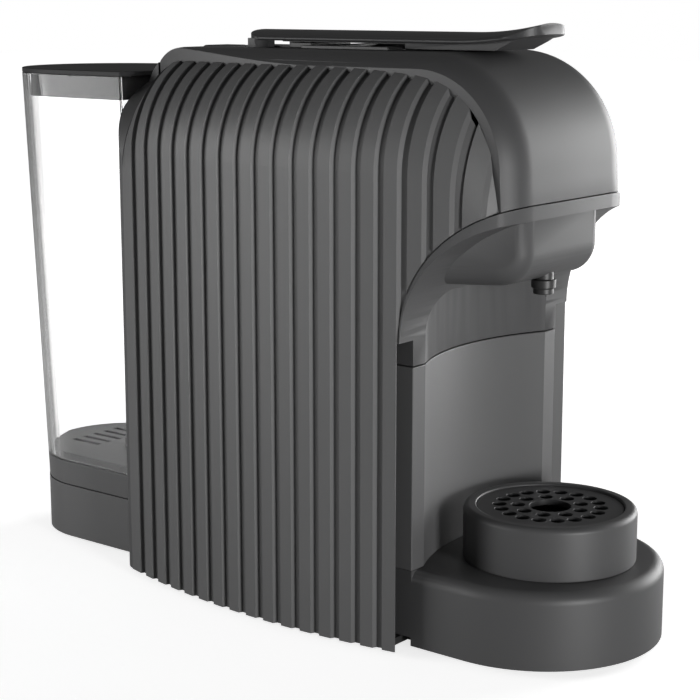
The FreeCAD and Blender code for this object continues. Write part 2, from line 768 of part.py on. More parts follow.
def nose_solid(inset, top_z):
    """Rounded nose under the head, wider towards the column."""
    half = NOSE_HALF_WIDTH - inset
    rear_half = NOSE_REAR_HALF_WIDTH - inset
    front_y = NOSE_FRONT_Y + inset
    under_z = NOSE_UNDERSIDE_Z + inset
    chin = NOSE_CHIN_RADIUS - inset
    slant = chin * (1.0 - math.sqrt(0.5))
    rear_y = NOSE_REAR_Y - inset
    solid = side_prism(
        -rear_half, rear_half,
        (front_y, top_z),
        (front_y, under_z + chin),
        ((front_y + slant, under_z + slant), (front_y + chin, under_z)),
        (rear_y, under_z),
        (rear_y, top_z),
    )
    flare = (rear_half - half) / (rear_y - front_y)
    solid = solid.common(plan_prism(
        under_z, top_z,
        (-half, front_y),
        (half, front_y),
        (rear_half, rear_y),
        (-rear_half, rear_y),
    ))
    edges = []
    for edge in solid.Edges:
        middle = edge.CenterOfMass
        side_x = half + flare * (middle.y - front_y)
        on_side = abs(abs(middle.x) - side_x) < 0.5
        if on_side and middle.z < top_z - 0.1 and middle.y < rear_y - 0.1:
            edges.append(edge)
    return solid.makeFillet(NOSE_SIDE_RADIUS - inset, edges)


def brew_head_shroud():
    """Moulded underside of the head: vault, nose, and the upper part of the column."""
    reach = HALF_WIDTH
    outer = ARCH_RADIUS - ARCH_SEAM
    arch = arch_cylinder(outer, reach)
    hollow = rod(VAULT_RADIUS, (-reach, VAULT_Y, ARCH_Z), (reach, VAULT_Y, ARCH_Z))
    vault = arch.common(shroud_plan(ARCH_Z, HEAD_PARTING_Z - ARCH_SEAM))
    backing = block(
        -COLUMN_HALF_WIDTH, COLUMN_HALF_WIDTH, COLUMN_FRONT_Y - VAULT_BACKING, COLUMN_REAR_Y,
        ARCH_Z, NOSE_UNDERSIDE_Z)
    vault = vault.fuse(backing).cut(hollow)
    column = block(
        -COLUMN_HALF_WIDTH, COLUMN_HALF_WIDTH, COLUMN_FRONT_Y, COLUMN_REAR_Y,
        COLUMN_PARTING_Z + COLUMN_SEAM, NOSE_UNDERSIDE_Z)
    nose = nose_solid(0.0, HEAD_PARTING_Z).common(arch)
    solid = vault.fuse(column).fuse(nose)
    solid = solid.cut(recess_tool(NOSE_UNDERSIDE_Z - NOSE_WALL))
    solid = solid.cut(nose_solid(NOSE_WALL, TOP_Z))
    hole = rod(SPOUT_STEM_RADIUS + FIT_GAP, (0, SPOUT_Y, 0), (0, SPOUT_Y, HEAD_PARTING_Z))
    return solid.cut(hole)


def spout_nozzle():
    """Short nozzle with a collar under the nose and a stem up through it."""
    stem_z = NOSE_UNDERSIDE_Z + NOSE_WALL + SPOUT_COLLAR_HEIGHT
    collar_z = NOSE_UNDERSIDE_Z - SPOUT_COLLAR_HEIGHT
    collar = rod(SPOUT_COLLAR_RADIUS, (0, SPOUT_Y, collar_z), (0, SPOUT_Y, NOSE_UNDERSIDE_Z))
    stem = rod(SPOUT_STEM_RADIUS, (0, SPOUT_Y, collar_z), (0, SPOUT_Y, stem_z))
    tip = rod(SPOUT_TIP_RADIUS, (0, SPOUT_Y, SPOUT_TIP_Z), (0, SPOUT_Y, collar_z))
    bore = rod(SPOUT_BORE_RADIUS, (0, SPOUT_Y, 0), (0, SPOUT_Y, TOP_Z))
    return collar.fuse(stem).fuse(tip).cut(bore)


def tray_plan(inset, rear_y, z0, z1):
    """Plan of the drip tray: straight sides and a half-round front."""
    half = COLUMN_HALF_WIDTH - inset
    return plan_prism(
        z0, z1,
        (-half, rear_y),
        (-half, TRAY_ARC_Y),
        ((0.0, TRAY_ARC_Y - half), (half, TRAY_ARC_Y)),
        (half, rear_y),
    )


def drip_tray():
    """Hollow tray with a rounded top edge, a well for the cup stand and a carrier for the bin."""
    bowl = tray_plan(0.0, COLUMN_FRONT_Y, TRAY_BOTTOM_Z, TRAY_TOP_Z)
    edges = []
    for edge in bowl.Edges:
        middle = edge.CenterOfMass
        if middle.z > TRAY_TOP_Z - 0.1 and middle.y < COLUMN_FRONT_Y - 0.1:
            edges.append(edge)
    bowl = bowl.makeFillet(TRAY_EDGE_RADIUS, edges)
    half = COLUMN_HALF_WIDTH
    bowl = bowl.fuse(block(-half, half, COLUMN_FRONT_Y, COLUMN_REAR_Y, TRAY_BOTTOM_Z, TRAY_TOP_Z))
    carrier = block(-BIN_HALF_WIDTH, BIN_HALF_WIDTH, COLUMN_REAR_Y, BIN_REAR_Y, TRAY_FLOOR_Z, BIN_BOTTOM_Z)
    bowl = bowl.fuse(carrier)
    floor_top_z = TRAY_FLOOR_Z + TRAY_WALL
    hollow_rear_y = COLUMN_REAR_Y - TRAY_WALL
    hollow = tray_plan(TRAY_WALL, hollow_rear_y, floor_top_z, TRAY_TOP_Z - TRAY_WALL)
    skirt = tray_plan(TRAY_WALL, PANEL_FRONT_Y, 0.0, TRAY_FLOOR_Z)
    behind = block(-half, half, PANEL_FRONT_Y - BAY_GAP, BIN_REAR_Y, 0.0, TRAY_FLOOR_Z)
    well = rod(TRAY_WELL_RADIUS, (0, STAND_Y, floor_top_z), (0, STAND_Y, TRAY_TOP_Z + TRAY_WALL))
    return bowl.cut(hollow).cut(skirt).cut(behind).cut(well)


def column_front():
    """Lower half of the column, hollowed like the upper half, carried by the drip tray."""
    half = COLUMN_HALF_WIDTH
    solid = block(-half, half, COLUMN_FRONT_Y, COLUMN_REAR_Y, TRAY_TOP_Z, COLUMN_PARTING_Z)
    return solid.cut(recess_tool(TOP_Z))


def capsule_bin():
    """Open box for used pods, standing on the tray's carrier."""
    front_y = COLUMN_REAR_Y + FIT_GAP
    outer = block(-BIN_HALF_WIDTH, BIN_HALF_WIDTH, front_y, BIN_REAR_Y, BIN_BOTTOM_Z, BIN_TOP_Z)
    inner = block(
        -BIN_HALF_WIDTH + BIN_WALL, BIN_HALF_WIDTH - BIN_WALL, front_y + BIN_WALL, BIN_REAR_Y - BIN_WALL,
        BIN_BOTTOM_Z + BIN_WALL, BIN_TOP_Z + BIN_WALL)
    return outer.cut(inner)


def cup_stand():
    """Round stand with a hollow middle, a ledge for its grid and a spigot in the tray's well."""
    axis = FreeCAD.Vector(0, STAND_Y, 0)
    spigot = TRAY_WELL_RADIUS - FIT_GAP
    bottom_z = TRAY_TOP_Z
    ledge_z = STAND_TOP_Z - GRID_SINK - GRID_THICKNESS
    body = Part.makeCylinder(STAND_RADIUS, STAND_TOP_Z - bottom_z, axis + FreeCAD.Vector(0, 0, bottom_z))
    top_edges = [e for e in body.Edges if e.CenterOfMass.z > STAND_TOP_Z - 0.1]
    body = body.makeFillet(STAND_EDGE_RADIUS, top_edges)
    body = body.fuse(rod(spigot, (0, STAND_Y, bottom_z - STAND_SPIGOT_DEPTH), (0, STAND_Y, bottom_z)))
    drain = rod(spigot - STAND_WALL, (0, STAND_Y, 0), (0, STAND_Y, ledge_z - STAND_WALL))
    throat = rod(GRID_RADIUS - STAND_WALL, (0, STAND_Y, 0), (0, STAND_Y, STAND_TOP_Z))
    seat = rod(GRID_RADIUS + FIT_GAP, (0, STAND_Y, ledge_z), (0, STAND_Y, STAND_TOP_Z))
    return body.cut(drain).cut(throat).cut(seat)


def cup_grid():
    """Perforated plate in the top of the cup stand."""
    z0 = STAND_TOP_Z - GRID_SINK - GRID_THICKNESS
    z1 = STAND_TOP_Z - GRID_SINK
    plate = rod(GRID_RADIUS, (0, STAND_Y, z0), (0, STAND_Y, z1))
    holes = [rod(GRID_CENTRE_RADIUS, (0, STAND_Y, z0), (0, STAND_Y, z1))]
    for ring, count in ((GRID_OUTER_RING, GRID_OUTER_COUNT), (GRID_INNER_RING, GRID_INNER_COUNT)):
        for index in range(count):
            angle = 2.0 * math.pi * index / count
            x = ring * math.cos(angle)
            y = STAND_Y + ring * math.sin(angle)
            holes.append(rod(GRID_HOLE_RADIUS, (x, y, z0), (x, y, z1)))
    return plate.cut(holes)


def barrel_plan(inset, y0, y1, z0, z1):
    """Plate inside the side panels, between two stations."""
    middle = 0.5 * (y0 + y1)
    x0, xm, x1 = (half_width(y) - inset for y in (y0, middle, y1))
    return plan_prism(
        z0, z1,
        (-x0, y0),
        (x0, y0),
        ((xm, middle), (x1, y1)),
        (-x1, y1),
        ((-xm, middle), (-x0, y0)),
    )


def foot_places():
    """Middles of the rubber feet."""
    return (
        (-FOOT_FRONT_X, FOOT_FRONT_Y), (FOOT_FRONT_X, FOOT_FRONT_Y),
        (-FOOT_BODY_X, FOOT_BODY_Y), (FOOT_BODY_X, FOOT_BODY_Y),
        (-FOOT_REAR_X, FOOT_REAR_Y), (FOOT_REAR_X, FOOT_REAR_Y),
    )


def base_plate():
    """Floor of the machine: a barrel plate with a tongue under the tray and a tail under the seat."""
    inset = PANEL_THICKNESS + FIT_GAP
    front_y = PANEL_FRONT_Y + PANEL_THICKNESS
    plate = barrel_plan(inset, front_y, PANEL_REAR_Y - 1.0, PLATE_Z, PLATE_TOP_Z)
    half = PLATE_TONGUE_HALF_WIDTH
    tongue = plan_prism(
        PLATE_Z, PLATE_TOP_Z,
        (-half, front_y),
        (-half, TRAY_ARC_Y),
        ((0.0, TRAY_ARC_Y - half), (half, TRAY_ARC_Y)),
        (half, front_y),
    )
    tail_half = SEAT_RADIUS - SEAT_WALL - FIT_GAP
    tail = plan_prism(
        PLATE_Z, PLATE_TOP_Z,
        (-tail_half, PANEL_REAR_Y - 2.0),
        (tail_half, PANEL_REAR_Y - 2.0),
        (tail_half, TANK_CENTRE_Y),
        ((0.0, TANK_CENTRE_Y + tail_half), (-tail_half, TANK_CENTRE_Y)),
    )
    plate = plate.fuse(tongue).fuse(tail)
    for x, y in foot_places():
        plate = plate.cut(rod(FOOT_RADIUS + FIT_GAP, (x, y, PLATE_Z), (x, y, PLATE_Z + FOOT_SINK)))
    for y in (BOARD_FRONT_Y, BOARD_REAR_Y - BOARD_CLIP):
        clip = block(
            BOARD_X - BOARD_CLIP, BOARD_X + BOARD_THICKNESS + BOARD_CLIP, y, y + BOARD_CLIP,
            PLATE_TOP_Z, PLATE_TOP_Z + BOARD_CLIP_HEIGHT)
        slot = block(
            BOARD_X - 0.5 * FIT_GAP, BOARD_X + BOARD_THICKNESS + 0.5 * FIT_GAP, y, y + BOARD_CLIP,
            PLATE_TOP_Z, PLATE_TOP_Z + BOARD_CLIP_HEIGHT)
        plate = plate.fuse(clip.cut(slot))
    return plate.cut(base_screws())


def rubber_feet():
    """Six feet set into the base plate."""
    return group([rod(FOOT_RADIUS, (x, y, 0.0), (x, y, PLATE_Z + FOOT_SINK)) for x, y in foot_places()])


def main_frame():
    """Bay walls, the deck above the bin with its pod hole, and the rear posts."""
    front_y = COLUMN_REAR_Y + FIT_GAP
    wall_x = BAY_HALF_WIDTH + FRAME_WALL
    wall = block(BAY_HALF_WIDTH, wall_x, front_y, FRAME_REAR_Y, PLATE_TOP_Z, DECK_Z)
    deck = barrel_plan(PANEL_THICKNESS + FIT_GAP, front_y, DECK_REAR_Y, DECK_Z, DECK_TOP_Z)
    pod_hole = block(
        -SLOT_HALF_WIDTH, SLOT_HALF_WIDTH,
        INJECTOR_FACE_Y - CARRIAGE_TRAVEL - CUP_FACE_GAP, INJECTOR_FACE_Y, DECK_Z, DECK_TOP_Z)
    hose_hole = rod(HOSE_RADIUS + FIT_GAP, (0, RISER_Y, DECK_Z), (0, RISER_Y, DECK_TOP_Z))
    post = rod(POST_RADIUS, (POST_X, POST_Y, PLATE_TOP_Z), (POST_X, POST_Y, DECK_Z))
    frame = both_sides(wall).fuse(deck).fuse(both_sides(post))
    return frame.cut(pod_hole.fuse(hose_hole)).cut(base_screws())


def seat_outline(inset):
    """Plan of the tank seat: straight sides from the rear wall and a half-round back."""
    half = SEAT_RADIUS - inset
    front_y = REAR_WALL_Y + FIT_GAP + inset
    return (
        (-half, front_y),
        (half, front_y),
        (half, TANK_CENTRE_Y),
        ((0.0, TANK_CENTRE_Y + half), (-half, TANK_CENTRE_Y)),
    )


def tank_seat():
    """Shell that carries the tank, with a shallow well on top and a hole for the inlet."""
    well_z = SEAT_TOP_Z - SEAT_WELL_DEPTH
    solid = plan_prism(PANEL_BOTTOM_Z, SEAT_TOP_Z, *seat_outline(0.0))
    under = plan_prism(0.0, well_z - SEAT_WALL, *seat_outline(SEAT_WALL))
    well = plan_prism(well_z, SEAT_TOP_Z + SEAT_WALL, *seat_outline(SEAT_WALL))
    inlet = rod(SOCKET_RADIUS - SEAT_WALL, (0, VALVE_Y, 0), (0, VALVE_Y, TOP_Z))
    hose = rod(HOSE_RADIUS + FIT_GAP, (0, REAR_WALL_Y, HOSE_Z), (0, TANK_FRONT_Y + 2.0 * SEAT_WALL, HOSE_Z))
    return solid.cut(under).cut(well).cut(inlet).cut(hose).cut(tail_notch())


def socket_face_y():
    """Plane where the suction hose meets the inlet socket."""
    return VALVE_Y - SOCKET_RADIUS + SEAT_WALL


def inlet_socket():
    """Water inlet under the seat: a flanged cup whose pin opens the tank's valve."""
    well_z = SEAT_TOP_Z - SEAT_WELL_DEPTH
    flange_z = well_z - SEAT_WALL
    rim = SOCKET_RADIUS - SEAT_WALL - 0.5 * FIT_GAP
    bottom_z = HOSE_Z - HOSE_RADIUS - SEAT_WALL
    body = rod(rim, (0, VALVE_Y, bottom_z), (0, VALVE_Y, well_z))
    flange = rod(SOCKET_RADIUS, (0, VALVE_Y, flange_z - SEAT_WALL), (0, VALVE_Y, flange_z))
    cup = rod(VALVE_RADIUS + SEAL_THICKNESS, (0, VALVE_Y, SOCKET_FLOOR_Z), (0, VALVE_Y, TOP_Z))
    pin = rod(PIN_RADIUS, (0, VALVE_Y, SOCKET_FLOOR_Z), (0, VALVE_Y, PIN_TOP_Z))
    drain_x = PIN_RADIUS + HOSE_BORE
    drain = rod(HOSE_BORE, (drain_x, VALVE_Y, HOSE_Z), (drain_x, VALVE_Y, TOP_Z))
    barb_y = socket_face_y() - BARB_LENGTH
    barb = rod(HOSE_BORE, (0, barb_y, HOSE_Z), (0, socket_face_y() + SEAT_WALL, HOSE_Z))
    return body.fuse(flange).cut(cup).fuse(pin).fuse(barb).cut(drain)


def inlet_seal():
    """Ring in the socket round the tank's valve tube."""
    z0 = SOCKET_FLOOR_Z
    outer = VALVE_RADIUS + SEAL_THICKNESS
    return tube(outer, VALVE_RADIUS + FIT_GAP, (0, VALVE_Y, z0), (0, VALVE_Y, z0 + SEAL_HEIGHT))


def tank_outline(z, inset):
    """Plan of the tank at height z: flat front, round back, opening out towards the rim."""
    share = (z - TANK_BOTTOM_Z) / (TANK_RIM_Z - TANK_BOTTOM_Z)
    half = TANK_BASE_RADIUS + share * (TANK_RIM_RADIUS - TANK_BASE_RADIUS) - inset
    front_y = TANK_FRONT_Y + inset
    return (
        (-half, front_y),
        (half, front_y),
        (half, TANK_CENTRE_Y),
        ((0.0, TANK_CENTRE_Y + half), (-half, TANK_CENTRE_Y)),
    )


def tank_loft(z0, z1, inset):
    """Tapered solid of the tank's plan between two heights."""
    wires = [outline(flat(z), *tank_outline(z, inset)) for z in (z0, z1)]
    return Part.makeLoft(wires, True, True)


def tank_body():
    """Whole tank: a spigot in the seat's well, tapered walls and a tube for its valve."""
    spigot_inset = TANK_BASE_RADIUS - SEAT_RADIUS + SEAT_WALL + 2.0 * FIT_GAP
    well_z = SEAT_TOP_Z - SEAT_WELL_DEPTH
    solid = tank_loft(TANK_BOTTOM_Z, TANK_RIM_Z, 0.0)
    spigot = plan_prism(well_z + FIT_GAP, TANK_BOTTOM_Z, *tank_outline(TANK_BOTTOM_Z, spigot_inset))
    valve_z = TANK_BOTTOM_Z - VALVE_LENGTH
    solid = solid.fuse(spigot).fuse(rod(VALVE_RADIUS, (0, VALVE_Y, valve_z), (0, VALVE_Y, TANK_BOTTOM_Z)))
    inner = tank_loft(TANK_BOTTOM_Z + TANK_FLOOR, TANK_RIM_Z, TANK_WALL)
    over = plan_prism(TANK_RIM_Z, TANK_RIM_Z + TANK_WALL, *tank_outline(TANK_RIM_Z, TANK_WALL))
    lip_z = valve_z + VALVE_LIP_LENGTH
    bore = rod(VALVE_BORE, (0, VALVE_Y, lip_z), (0, VALVE_Y, TANK_BOTTOM_Z + TANK_FLOOR))
    mouth = rod(VALVE_LIP_BORE, (0, VALVE_Y, valve_z), (0, VALVE_Y, lip_z))
    return solid.cut(inner).cut(over).cut(bore).cut(mouth)


def tank_base_space():
    """Space below the joint between the tank's clear walls and its foot."""
    reach = 2.0 * TANK_RIM_RADIUS
    return block(-reach, reach, TANK_FRONT_Y - reach, TANK_CENTRE_Y + reach, 0.0, TANK_BASE_TOP_Z)


def water_tank():
    """Clear walls of the tank above its foot."""
    return tank_body().cut(tank_base_space())


def tank_base():
    """Dark foot of the tank, with its floor, spigot and valve tube."""
    return tank_body().common(tank_base_space())


def tank_insert():
    """Dark strainer plate over the tank's floor, with a raised rim and a hub over the valve."""
    z0 = TANK_BOTTOM_Z + TANK_FLOOR
    gap = TANK_WALL + FIT_GAP
    cup = tank_loft(z0, INSERT_TOP_Z, gap)
    hollow = plan_prism(z0, INSERT_TOP_Z - INSERT_PLATE, *tank_outline(z0, gap + INSERT_PLATE))
    hub_z = INSERT_TOP_Z + INSERT_HUB
    hub = tube(VALVE_RADIUS + INSERT_PLATE, VALVE_RADIUS, (0, VALVE_Y, z0), (0, VALVE_Y, hub_z))
    cup = cup.cut(hollow).cut(rod(VALVE_RADIUS, (0, VALVE_Y, z0), (0, VALVE_Y, TOP_Z))).fuse(hub)
    slots = []
    for index in range(INSERT_SLOTS):
        x = (index - 0.5 * (INSERT_SLOTS - 1)) * INSERT_SLOT_PITCH
        slots.append(block(
            x - 0.5 * INSERT_SLOT_WIDTH, x + 0.5 * INSERT_SLOT_WIDTH,
            TANK_CENTRE_Y + INSERT_PLATE, TANK_CENTRE_Y + INSERT_SLOT_LENGTH, z0, INSERT_TOP_Z + 1.0))
    return cup.cut(slots)


def tank_lid():
    """Lid with a thin flange on the rim and a dark skirt inside the tank."""
    gap = TANK_WALL + LID_FIT
    skirt_z = TANK_RIM_Z - LID_SKIRT
    flange = plan_prism(TANK_RIM_Z, TANK_RIM_Z + LID_THICKNESS, *tank_outline(TANK_RIM_Z, 0.0))
    skirt = plan_prism(skirt_z, TANK_RIM_Z, *tank_outline(skirt_z, gap))
    hollow = plan_prism(skirt_z, TANK_RIM_Z, *tank_outline(skirt_z, gap + LID_THICKNESS))
    return flange.fuse(skirt.cut(hollow))


def valve_poppet():
    """Plug in the tank's valve, held open by the inlet's pin while the tank is seated."""
    z0 = PIN_TOP_Z + 0.5 * FIT_GAP
    plug = rod(VALVE_BORE - FIT_GAP, (0, VALVE_Y, z0), (0, VALVE_Y, z0 + POPPET_HEIGHT))
    return plug.fuse(rod(PIN_RADIUS, (0, VALVE_Y, z0), (0, VALVE_Y, z0 + POPPET_STEM)))


def lever_spine():
    """Line along the lever's underside: level, then an easy curve up to the tip."""
    run = LEVER_BEND_Y - LEVER_FRONT_Y
    radius = (run * run + LEVER_TIP_RISE * LEVER_TIP_RISE) / (2.0 * LEVER_TIP_RISE)
    bend = FreeCAD.Vector(0, LEVER_BEND_Y, LEVER_BOTTOM_Z)
    middle_z = LEVER_BOTTOM_Z + radius - arc_rise(radius, 0.5 * run)
    middle = FreeCAD.Vector(0, LEVER_BEND_Y - 0.5 * run, middle_z)
    tip = FreeCAD.Vector(0, LEVER_FRONT_Y, LEVER_BOTTOM_Z + LEVER_TIP_RISE)
    rear = FreeCAD.Vector(0, LEVER_REAR_Y, LEVER_BOTTOM_Z)
    return Part.Wire([Part.LineSegment(rear, bend).toShape(), Part.Arc(bend, middle, tip).toShape()])


def lever_section():
    """Cross-section of the lever: flat below, crowned above, with round lips."""
    lip = LEVER_LIP_RADIUS
    half = LEVER_HALF_WIDTH
    low = LEVER_BOTTOM_Z
    return outline(
        front(LEVER_REAR_Y),
        (-half + lip, low),
        (half - lip, low),
        ((half, low + lip), (half - lip, low + 2.0 * lip)),
        ((0.0, low + LEVER_CROWN), (-half + lip, low + 2.0 * lip)),
        ((-half, low + lip), (-half + lip, low)),
    )


def lever_plan(half, front_y, rear_y, corner, z0, z1):
    """Upright block with four round corners, as wide as twice a half width."""
    slant = corner * (1.0 - math.sqrt(0.5))
    return plan_prism(
        z0, z1,
        (-half, rear_y - corner),
        (-half, front_y + corner),
        ((-half + slant, front_y + slant), (-half + corner, front_y)),
        (half - corner, front_y),
        ((half - slant, front_y + slant), (half, front_y + corner)),
        (half, rear_y - corner),
        ((half - slant, rear_y - slant), (half - corner, rear_y)),
        (-(half - corner), rear_y),
        ((-half + slant, rear_y - slant), (-half, rear_y - corner)),
    )


def lever_grip():
    """Bow-shaped body under the raised tip, closing on the cover."""
    tip_z = LEVER_BOTTOM_Z + LEVER_TIP_RISE + LEVER_LIP_RADIUS
    set_in = LEVER_HALF_WIDTH - GRIP_HALF_WIDTH
    front_y = LEVER_FRONT_Y + set_in
    chin_y = 0.5 * (front_y + GRIP_FLAT_Y)
    chin_z = LEVER_BOTTOM_Z + 0.3 * LEVER_TIP_RISE
    body = side_prism(
        -GRIP_HALF_WIDTH, GRIP_HALF_WIDTH,
        (GRIP_REAR_Y, GRIP_BOTTOM_Z),
        (GRIP_REAR_Y, LEVER_BOTTOM_Z + LEVER_LIP_RADIUS),
        (LEVER_BEND_Y, LEVER_BOTTOM_Z + LEVER_LIP_RADIUS),
        (front_y, tip_z),
        ((chin_y, chin_z), (GRIP_FLAT_Y, GRIP_BOTTOM_Z)),
    )
    corner = LEVER_CORNER_RADIUS - set_in
    return body.common(lever_plan(GRIP_HALF_WIDTH, front_y, LEVER_REAR_Y, corner, GRIP_BOTTOM_Z, tip_z))


def lever_handle():
    """Long crowned paddle with a raised tip, a grip, stiffening ribs and two hinge knuckles."""
    top_z = LEVER_BOTTOM_Z + LEVER_CROWN + 2.0 * LEVER_TIP_RISE
    swept = lever_spine().makePipeShell([lever_section()], True, False)
    paddle = swept.common(lever_plan(
        LEVER_HALF_WIDTH, LEVER_FRONT_Y, LEVER_REAR_Y, LEVER_CORNER_RADIUS, LEVER_RIB_Z, top_z))
    rib = block(
        LEVER_RIB_X, LEVER_RIB_X + LEVER_RIB_WIDTH, GRIP_REAR_Y, LEVER_SLOT_FRONT_Y,
        LEVER_RIB_Z, LEVER_BOTTOM_Z + LEVER_LIP_RADIUS)
    knuckle = crank_plate(KNUCKLE_INNER_X, KNUCKLE_INNER_X + KNUCKLE_WIDTH)
    paddle = paddle.fuse(lever_grip()).fuse(both_sides(rib)).fuse(both_sides(knuckle))
    return paddle.cut(pivot_bore())


def crank_plate(x0, x1):
    """Side plate of the lever: web under the paddle, hub round the pivot, arm down to the drive pin."""
    hub = rod(KNUCKLE_RADIUS, (x0, PIVOT_Y, PIVOT_Z), (x1, PIVOT_Y, PIVOT_Z))
    web = block(
        x0, x1, PIVOT_Y - KNUCKLE_RADIUS, PIVOT_Y + KNUCKLE_RADIUS, PIVOT_Z,
        LEVER_BOTTOM_Z + LEVER_LIP_RADIUS)
    boss = rod(CRANK_ARM_RADIUS, (x0, DRIVE_PIN_Y, DRIVE_PIN_Z), (x1, DRIVE_PIN_Y, DRIVE_PIN_Z))
    swing = math.radians(CRANK_SWING)
    across = CRANK_ARM_RADIUS
    shift_y = across * math.cos(swing)
    shift_z = across * math.sin(swing)
    arm = side_prism(
        x0, x1,
        (PIVOT_Y - shift_y, PIVOT_Z - shift_z),
        (PIVOT_Y + shift_y, PIVOT_Z + shift_z),
        (DRIVE_PIN_Y + shift_y, DRIVE_PIN_Z + shift_z),
        (DRIVE_PIN_Y - shift_y, DRIVE_PIN_Z - shift_z),
    )
    return hub.fuse(web).fuse(boss).fuse(arm)


def pivot_bore():
    """Bores in the lever's side plates: a running fit at the pivot, a tight one at the drive pin."""
    reach = YOKE_OUTER_X + YOKE_THICKNESS
    pivot = rod(PIVOT_RADIUS + RUNNING_FIT, (-reach, PIVOT_Y, PIVOT_Z), (reach, PIVOT_Y, PIVOT_Z))
    drive = rod(DRIVE_PIN_RADIUS, (-reach, DRIVE_PIN_Y, DRIVE_PIN_Z), (reach, DRIVE_PIN_Y, DRIVE_PIN_Z))
    return pivot.fuse(drive)


def drive_pin():
    """Cross pin that moves the brewing carriage."""
    reach = YOKE_OUTER_X + 1.0
    return rod(DRIVE_PIN_RADIUS, (-reach, DRIVE_PIN_Y, DRIVE_PIN_Z), (reach, DRIVE_PIN_Y, DRIVE_PIN_Z))


def bracket_inner_x():
    """Inner face of the hinge bracket's lugs, beside the lever's opening."""
    return LEVER_SLOT_HALF_WIDTH + FIT_GAP


def lever_bracket():
    """Two lugs hung from the top cover on either side of the lever's opening."""
    x0 = bracket_inner_x()
    x1 = x0 + BRACKET_THICKNESS
    roof_z = TOP_Z - COVER_WALL
    lug = block(x0, x1, PIVOT_Y - BRACKET_REACH, PIVOT_Y + BRACKET_REACH, PIVOT_Z, roof_z)
    lug = lug.fuse(rod(BRACKET_REACH, (x0, PIVOT_Y, PIVOT_Z), (x1, PIVOT_Y, PIVOT_Z)))
    lug = lug.cut(rod(PIVOT_RADIUS, (x0, PIVOT_Y, PIVOT_Z), (x1, PIVOT_Y, PIVOT_Z)))
    return group([lug, mirrored(lug)])


def lever_pivot_pin():
    """Hinge pin of the lever, held in the bracket's lugs."""
    reach = bracket_inner_x() + BRACKET_THICKNESS
    return rod(PIVOT_RADIUS, (-reach, PIVOT_Y, PIVOT_Z), (reach, PIVOT_Y, PIVOT_Z))


def lever_rest():
    """Pad on the top cover that the closed lever lies on."""
    half = LEVER_REST_HALF_WIDTH
    reach = 0.5 * LEVER_REST_LENGTH
    return block(-half, half, LEVER_REST_Y - reach, LEVER_REST_Y + reach, TOP_Z, LEVER_RIB_Z - FIT_GAP)


def cup_mouth_y():
    """Open end of the brewing cup while the lever is closed."""
    return INJECTOR_FACE_Y - CUP_FACE_GAP


def brew_carriage():
    """Sliding frame: two side plates with upright yoke slots, a front plate and rail bushes."""
    mouth = cup_mouth_y()
    nose_y = mouth - POD_DEPTH - CUP_WALL
    rear_y = DRIVE_PIN_Y + YOKE_REACH
    top_z = DRIVE_PIN_Z + YOKE_REACH
    low_z = top_z - BEAM_HEIGHT
    cheek_z = TOP_Z - COVER_WALL - SLOT_REACH - BAY_GAP
    plate = side_prism(
        YOKE_INNER_X, YOKE_OUTER_X,
        (rear_y, low_z - YOKE_DROP),
        (rear_y, top_z),
        (nose_y, top_z),
        (nose_y, BREW_Z - BUSH_RADIUS),
        (mouth - CUP_WALL, BREW_Z - BUSH_RADIUS),
        (mouth - CUP_WALL, low_z),
        (DRIVE_PIN_Y - YOKE_REACH, low_z),
        (DRIVE_PIN_Y - YOKE_REACH, low_z - YOKE_DROP),
    )
    slot_half = DRIVE_PIN_RADIUS + YOKE_CLEARANCE
    slot_low = PIVOT_Z - CRANK_RADIUS - slot_half
    slot_top = DRIVE_PIN_Z + slot_half
    slot = block(
        YOKE_INNER_X, YOKE_OUTER_X, DRIVE_PIN_Y - slot_half, DRIVE_PIN_Y + slot_half, slot_low, slot_top)
    bush = rod(BUSH_RADIUS, (RAIL_X, nose_y, BREW_Z), (RAIL_X, mouth - CUP_WALL, BREW_Z))
    arm_half = 0.5 * BUSH_RADIUS
    arm = block(YOKE_INNER_X, RAIL_X, nose_y, mouth - CUP_WALL, BREW_Z - arm_half, BREW_Z + arm_half)
    wing = plate.cut(slot).fuse(bush).fuse(arm)
    wing = wing.cut(rod(RAIL_RADIUS + RUNNING_FIT, (RAIL_X, nose_y, BREW_Z), (RAIL_X, mouth, BREW_Z)))
    cheek = block(
        -YOKE_OUTER_X, YOKE_OUTER_X, nose_y - CUP_WALL, nose_y, BREW_Z - POD_RADIUS, cheek_z)
    frame = both_sides(wing).fuse(cheek)
    outlet = rod(OUTLET_RADIUS, (0, nose_y - CUP_WALL, outlet_z()), (0, nose_y, outlet_z()))
    return frame.cut(outlet)


def outlet_z():
    """Height of the brewing cup's outlet."""
    return BREW_Z - POD_RADIUS + 2.0 * OUTLET_RADIUS


def brew_cup():
    """Cup that closes over the pod, with a spout through the carriage's front plate."""
    mouth = cup_mouth_y()
    nose_y = mouth - POD_DEPTH - CUP_WALL
    cup = rod(POD_RADIUS + CUP_WALL, (0, nose_y, BREW_Z), (0, mouth, BREW_Z))
    cup = cup.cut(rod(POD_RADIUS, (0, nose_y + CUP_WALL, BREW_Z), (0, mouth, BREW_Z)))
    lip_y = nose_y - 3.0 * CUP_WALL
    spout = rod(OUTLET_RADIUS, (0, lip_y, outlet_z()), (0, nose_y, outlet_z()))
    bore = rod(SPOUT_BORE_RADIUS, (0, lip_y, outlet_z()), (0, nose_y + CUP_WALL, outlet_z()))
    return cup.fuse(spout).cut(bore)


